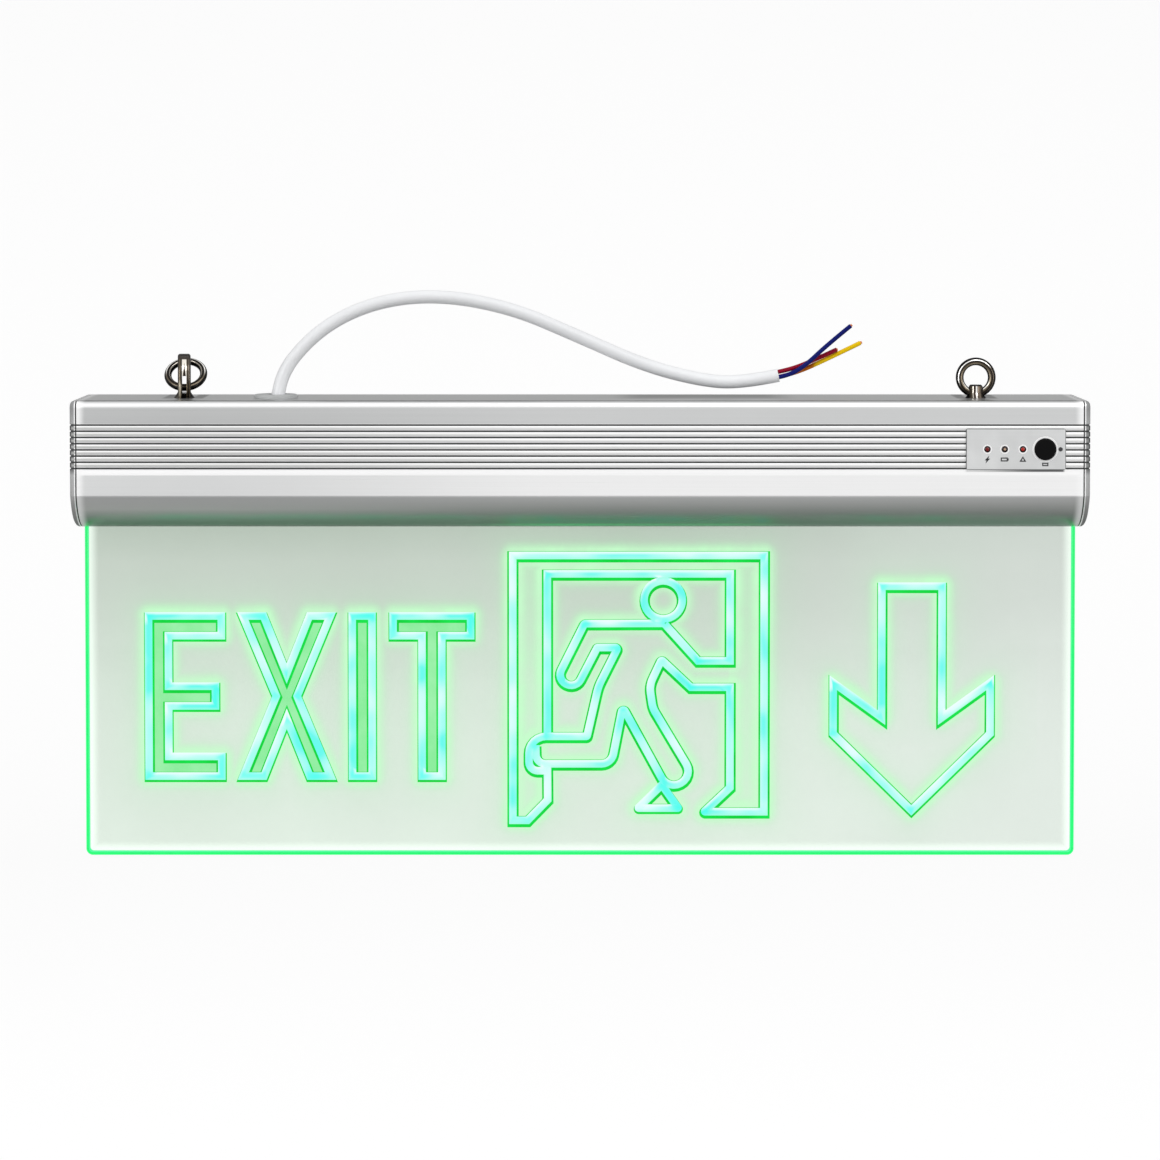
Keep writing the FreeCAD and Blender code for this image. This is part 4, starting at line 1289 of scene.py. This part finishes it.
def right_eye_material():
    """Nickel with painted reflections as bands round the ring of the right eye and streaks down its collar,
    painted highlights on the ring, and painted shade at the collar's top.
    """
    material, tree, inputs = new_material("nickel_right_eye")
    x, _, z = coordinates(tree)
    eye_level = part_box("right_eye_bolt")[1].z / MM - eye_radius
    across = maths(tree, "SUBTRACT", x, middle_of("right_eye_bolt").x)
    upward = maths(tree, "SUBTRACT", z, eye_level)
    reach = way_length(tree, across, upward)
    tone = bands(tree, reach, eye_painted_reflections)
    lit_side = maths(tree, "SUBTRACT", product(tree, upward, 0.86), product(tree, across, 0.5))
    # Painted highlights: along the outer edge on the lit side, and along the inner edge below.
    outer = product(tree, between(tree, reach, outer_painted_highlight, 0.08), ranged(tree, lit_side, (0.0, 3.0)))
    tone = mixed(tree, outer, tone, linear(252, 250, 246))
    inner = product(tree, between(tree, reach, inner_painted_highlight, 0.08), ranged(tree, upward, (-0.5, -3.0)))
    tone = mixed(tree, inner, tone, linear(250, 246, 238))
    collar_width = (-collar_radius, collar_radius)
    on_collar = product(tree, between(tree, across, collar_width, 0.05), ranged(tree, z, collar_top))
    tone = mixed(tree, on_collar, tone, bands(tree, across, collar_painted_reflections))
    # Painted shade: a dark line at the collar's top, under the ring.
    painted_shade_line = product(tree, on_collar, ranged(tree, z, collar_top_painted_shade))
    polish(tree, inputs, mixed(tree, painted_shade_line, tone, linear(14, 13, 12)))
    return material


def left_eye_material():
    """Nickel with painted reflections as streaks up the wide left eye, seen edge on, a painted wedge of
    shade in its opening, and darker at its top.
    """
    material, tree, inputs = new_material("nickel_left_eye")
    x, y, z = coordinates(tree)
    from_middle = maths(tree, "SUBTRACT", x, middle_of("left_eye_bolt").x)
    across = maths(tree, "ADD", from_middle, product(tree, y, left_eye_slope))
    lower = bands(tree, across, left_eye_lower_painted_reflections)
    upper = bands(tree, across, left_eye_upper_painted_reflections)
    tone = mixed(tree, ranged(tree, z, left_eye_changes), lower, upper)
    low, high = wedge_heights
    wedge_half = ranged(tree, z, (8.0, high), (0.55, 0.05), "LINEAR")
    beyond = maths(tree, "SUBTRACT", wedge_half, maths(tree, "ABSOLUTE", across))
    wedge = product(tree, ranged(tree, beyond, (-0.08, 0.08)), between(tree, z, (low, high), 0.1))
    tone = mixed(tree, wedge, tone, linear(40, 30, 22))
    polish(tree, inputs, mixed(tree, ranged(tree, z, left_eye_top), tone, linear(56, 48, 42)))
    return material


def ring_material():
    """Nickel with painted reflections as bands round the wire of the hanging ring, which leans back, and a
    painted highlight on its upper side.
    """
    material, tree, inputs = new_material("nickel_ring")
    x, y, z = coordinates(tree)
    middle = middle_of("hanging_ring")
    lean = math.radians(ring_lean)
    back = product(tree, maths(tree, "SUBTRACT", y, middle.y), math.sin(lean))
    up = product(tree, maths(tree, "SUBTRACT", z, middle.z), math.cos(lean))
    upward = maths(tree, "ADD", up, back)
    reach = way_length(tree, maths(tree, "SUBTRACT", x, middle.x), upward)
    painted_highlight = product(tree, between(tree, reach, ring_painted_highlight, 0.08), ranged(tree, upward, (-2.0, 2.0)))
    tone = mixed(tree, painted_highlight, bands(tree, reach, ring_painted_reflections), linear(250, 248, 244))
    polish(tree, inputs, tone)
    return material


def plate_material():
    """Matt silver plate with a painted dark line of shade round its edge."""
    material, tree, inputs = new_material("plate_silver")
    x, _, z = coordinates(tree)
    low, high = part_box("control_plate")
    middle = middle_of("control_plate")
    half = (high - low) / 2 / MM
    beyond_x = maths(tree, "SUBTRACT", half.x, off_middle(tree, x, middle.x))
    beyond_z = maths(tree, "SUBTRACT", half.z, off_middle(tree, z, middle.z))
    # Painted shade: a dark line just inside the plate's edge.
    edge = ranged(tree, maths(tree, "MINIMUM", beyond_x, beyond_z), plate_edge_shade)
    cloud = noise(tree, object_place(tree), 70.0, 2.0)
    tone = ramp(tree, cloud, [(0.35, linear(206, 207, 207)), (0.65, linear(220, 221, 221))])
    tone = mixed(tree, edge, tone, linear(96, 98, 98))
    rough = draw_metal(tree, inputs, tone, plate_lines, 0.02, 0.01)
    feed(tree, inputs, "Metallic", 0.8)
    feed(tree, inputs, "Roughness", rough)
    return material


def lens(name, node, colour, spot):
    """Tinted lamp lens, dark at its rim and coloured out to a radius in millimetres."""
    material, tree, inputs = new_material(name)
    x, _, z = coordinates(tree)
    middle = middle_of(node)
    reach = way_length(tree, maths(tree, "SUBTRACT", x, middle.x), maths(tree, "SUBTRACT", z, middle.z))
    tone = mixed(tree, ranged(tree, reach, (spot - 0.25, spot + 0.1)), colour, linear(34, 10, 8))
    cloud = noise(tree, object_place(tree), 900.0, 2.0)
    feed(tree, inputs, "Base Color", shaded(tree, tone, cloud, 0.12))
    feed(tree, inputs, "Roughness", ranged(tree, cloud, (0.3, 0.7), (0.08, 0.16)))
    feed(tree, inputs, "Specular IOR Level", 0.25)
    return material


def rim_highlight_material():
    """Painted highlight: bright white that glows a little."""
    material, tree, inputs = new_material("rim_painted_highlight")
    feed(tree, inputs, "Base Color", linear(250, 250, 250))
    feed(tree, inputs, "Roughness", 0.3)
    feed(tree, inputs, "Emission Color", (1, 1, 1, 1))
    feed(tree, inputs, "Emission Strength", 0.2)
    return material


def add_plate_details():
    """Painted highlights as white rims round the lamps and the button, and small signs for what each is for.
    """
    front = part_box("control_plate")[0].y / MM
    level = middle_of("control_plate").z
    mesh = bmesh.new()
    for name, radius, width in rims:
        centre = Vector((middle_of(name).x, level))
        add_ring(mesh, circle(centre, radius + width), [width], front, rim_thickness)
    new_piece("lamp_rims", finished(mesh, "lamp_rims"), rim_highlight_material())
    mesh = bmesh.new()
    for name, drop, outline in signs:
        middle = middle_of(name).x
        points = [Vector((middle + x, level - drop + z)) for x, z in outline]
        add_ring(mesh, mitred(points, -sign_width / 2, True), [sign_width], front, print_thickness)
    new_piece("plate_signs", finished(mesh, "plate_signs"), plastic("print_dark", linear(40, 40, 42), 0.5))


# Finishes of the model's own pieces


def dress_nodes():
    """Gives each shown node of the model its finish."""
    turned = {"spread": 0.1, "lines": 1500.0, "length": 700.0}
    housing = housing_material()
    caps = cap_material()
    zinc = metal("zinc_screw", linear(176, 178, 178), 0.28, depth=0.01, **turned)
    black = plastic("black_component", linear(38, 38, 40), 0.45)
    white = plastic("white_moulding", linear(232, 232, 228), 0.4)
    circuit = plastic("circuit_board", linear(30, 96, 58), 0.35, coat=0.4)
    finishes = {
        "housing_extrusion": housing,
        "left_end_cap": caps,
        "right_end_cap": caps,
        "end_cap_screws": zinc,
        "sign_panel": panel_acrylic_material(),
        "front_hanger_bar": housing,
        "rear_hanger_bar": housing,
        "hanger_screws": zinc,
        "light_strip": plastic("white_board", linear(236, 236, 232), 0.35),
        "light_emitters": plastic("green_emitter", linear(150, 240, 170), 0.3),
        "left_eye_bolt": left_eye_material(),
        "right_eye_bolt": right_eye_material(),
        "eye_bolt_nuts": zinc,
        "hanging_ring": ring_material(),
        "cable_gland": plastic("grey_bush", linear(182, 184, 184), 0.45),
        "gland_nut": plastic("grey_nut", linear(140, 142, 142), 0.45),
        "inner_cores": white,
        "terminal_block": plastic("green_block", linear(60, 140, 84), 0.4),
        "control_plate": plate_material(),
        "plate_screw": metal("dark_screw", linear(70, 70, 72), depth=0.006, **turned),
        "supply_lamp": lens("red_lens", "supply_lamp", linear(128, 28, 26), 0.72),
        # The charge lamp's cream centre is a painted highlight on its dark amber lens.
        "charge_lamp": lens("amber_lens", "charge_lamp", linear(226, 190, 160), 0.45),
        "fault_lamp": lens("red_lens_bright", "fault_lamp", linear(206, 44, 34), 0.68),
        "indicator_board": circuit,
        "test_button": plastic("black_button", linear(5, 5, 6), 0.4, 0.1, 2600.0, 0.0, 0.08),
        "switch_plunger": black,
        "test_switch": black,
        "battery_cells": plastic("cell_sleeve", linear(60, 120, 190), 0.3, coat=0.3),
        "battery_tray": white,
        "battery_clips": zinc,
        "driver_board": circuit,
        "transformer": metal("steel_lamination", linear(120, 120, 122), 0.5),
        "transformer_winding": metal("copper_winding", linear(190, 104, 60), 0.35),
        "driver_capacitors": plastic("capacitor_sleeve", linear(40, 50, 90), 0.3, coat=0.3),
        "driver_chips": black,
    }
    for name, material in finishes.items():
        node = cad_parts[name]
        node.data.materials.clear()
        node.data.materials.append(material)


# Floor and light


def add_stage():
    """Pale floor that curves up into a wall behind."""
    mesh = bmesh.new()
    profile = [(floor_front, floor_level), (wall_depth - floor_bend, floor_level)]
    for step in range(1, bend_steps + 1):
        angle = math.pi / 2 * step / bend_steps
        back = wall_depth - floor_bend * (1 - math.sin(angle))
        profile.append((back, floor_level + floor_bend * (1 - math.cos(angle))))
    profile.append((wall_depth, wall_top))
    verts = [mesh.verts.new((-floor_half_width, y, z)) for y, z in profile]
    edges = [mesh.edges.new(pair) for pair in zip(verts, verts[1:])]
    made = bmesh.ops.extrude_edge_only(mesh, edges=edges)["geom"]
    moved = [part for part in made if isinstance(part, bmesh.types.BMVert)]
    bmesh.ops.translate(mesh, verts=moved, vec=(2 * floor_half_width, 0, 0))
    data = finished(mesh, "floor")
    for face in data.polygons:
        face.use_smooth = True
    floor = bpy.data.objects.new("floor", data)
    bpy.context.scene.collection.objects.link(floor)
    data.materials.append(stage_material())


def stage_material():
    """Pale matt paper, white to the camera and through glass; in gloss a pale patch in a dark room."""
    material = bpy.data.materials.new("pale_paper")
    material.use_nodes = True
    tree = material.node_tree
    tree.nodes.clear()
    x, y, z = add(tree, "ShaderNodeSeparateXYZ", {0: object_place(tree)}).outputs
    patch = product(tree, between(tree, x, gloss_patch_along, 0.15), between(tree, z, gloss_patch_up, 0.15))
    patch = product(tree, patch, ranged(tree, y, gloss_patch_begins))
    low = ranged(tree, z, (-0.2, -0.42), (0.0, 0.3))
    gloss = maths(tree, "ADD", product(tree, patch, 0.45), maths(tree, "ADD", low, 0.03))
    rays = add(tree, "ShaderNodeLightPath").outputs
    shown = maths(tree, "MAXIMUM", rays["Is Camera Ray"], rays["Is Transmission Ray"])
    glossy = product(tree, rays["Is Glossy Ray"], gloss)
    strength = maths(tree, "ADD", product(tree, shown, 0.78), glossy)
    glow = add(tree, "ShaderNodeEmission", {"Color": (1, 1, 1, 1), "Strength": strength})
    matt = add(tree, "ShaderNodeBsdfDiffuse", {"Color": (0.36, 0.36, 0.36, 1)})
    both = add(tree, "ShaderNodeAddShader", {0: glow.outputs[0], 1: matt.outputs[0]})
    add(tree, "ShaderNodeOutputMaterial", {"Surface": both.outputs[0]})
    return material


def add_world():
    """Soft even studio light, a little brighter where gloss and the camera see it."""
    world = bpy.data.worlds.new("studio")
    bpy.context.scene.world = world
    world.use_nodes = True
    tree = world.node_tree
    tree.nodes.clear()
    rays = add(tree, "ShaderNodeLightPath").outputs
    shown = maths(tree, "MAXIMUM", rays["Is Camera Ray"], rays["Is Glossy Ray"])
    shown = maths(tree, "MAXIMUM", shown, rays["Is Transmission Ray"])
    strength = ranged(tree, shown, (0.0, 1.0), (0.58, 1.08), "LINEAR")
    sky = add(tree, "ShaderNodeBackground", {"Color": (1, 1, 1, 1), "Strength": strength})
    add(tree, "ShaderNodeOutputWorld", {"Surface": sky.outputs[0]})


def add_lamp(name, place, target, size, power):
    data = bpy.data.lights.new(name, "AREA")
    data.shape = "RECTANGLE"
    data.size = size[0]
    data.size_y = size[1]
    data.energy = power
    lamp = bpy.data.objects.new(name, data)
    lamp.location = place
    lamp.rotation_euler = (Vector(target) - Vector(place)).to_track_quat("-Z", "Y").to_euler()
    bpy.context.scene.collection.objects.link(lamp)
    return lamp


def add_lights():
    add_world()
    add_lamp("key_light", (0.5, -1.0, 1.3), (0, 0, 0), (1.2, 0.8), 9.0)
    add_lamp("fill_light", (-1.2, -1.0, 0.5), (0, 0, -0.05), (0.9, 0.9), 4.0)
    for name, x in (("left_strip", -1.0), ("right_strip", 1.05)):
        strip = add_lamp(name, (x, -1.0, 0.15), (0, 0, 0), (0.22, 1.3), 6.3)
        strip.visible_diffuse = False


drawn_lines = drawn_lines_effect()
moulded_skin = moulded_skin_effect()

add_camera()
add_cable()
dress_nodes()
paths = sign_paths()
add_sign_glow(paths)
add_letter_faces()
add_sign_lines(paths)
add_plate_details()
add_stage()
add_lights()

bpy.context.scene.view_settings.view_transform = "Standard"
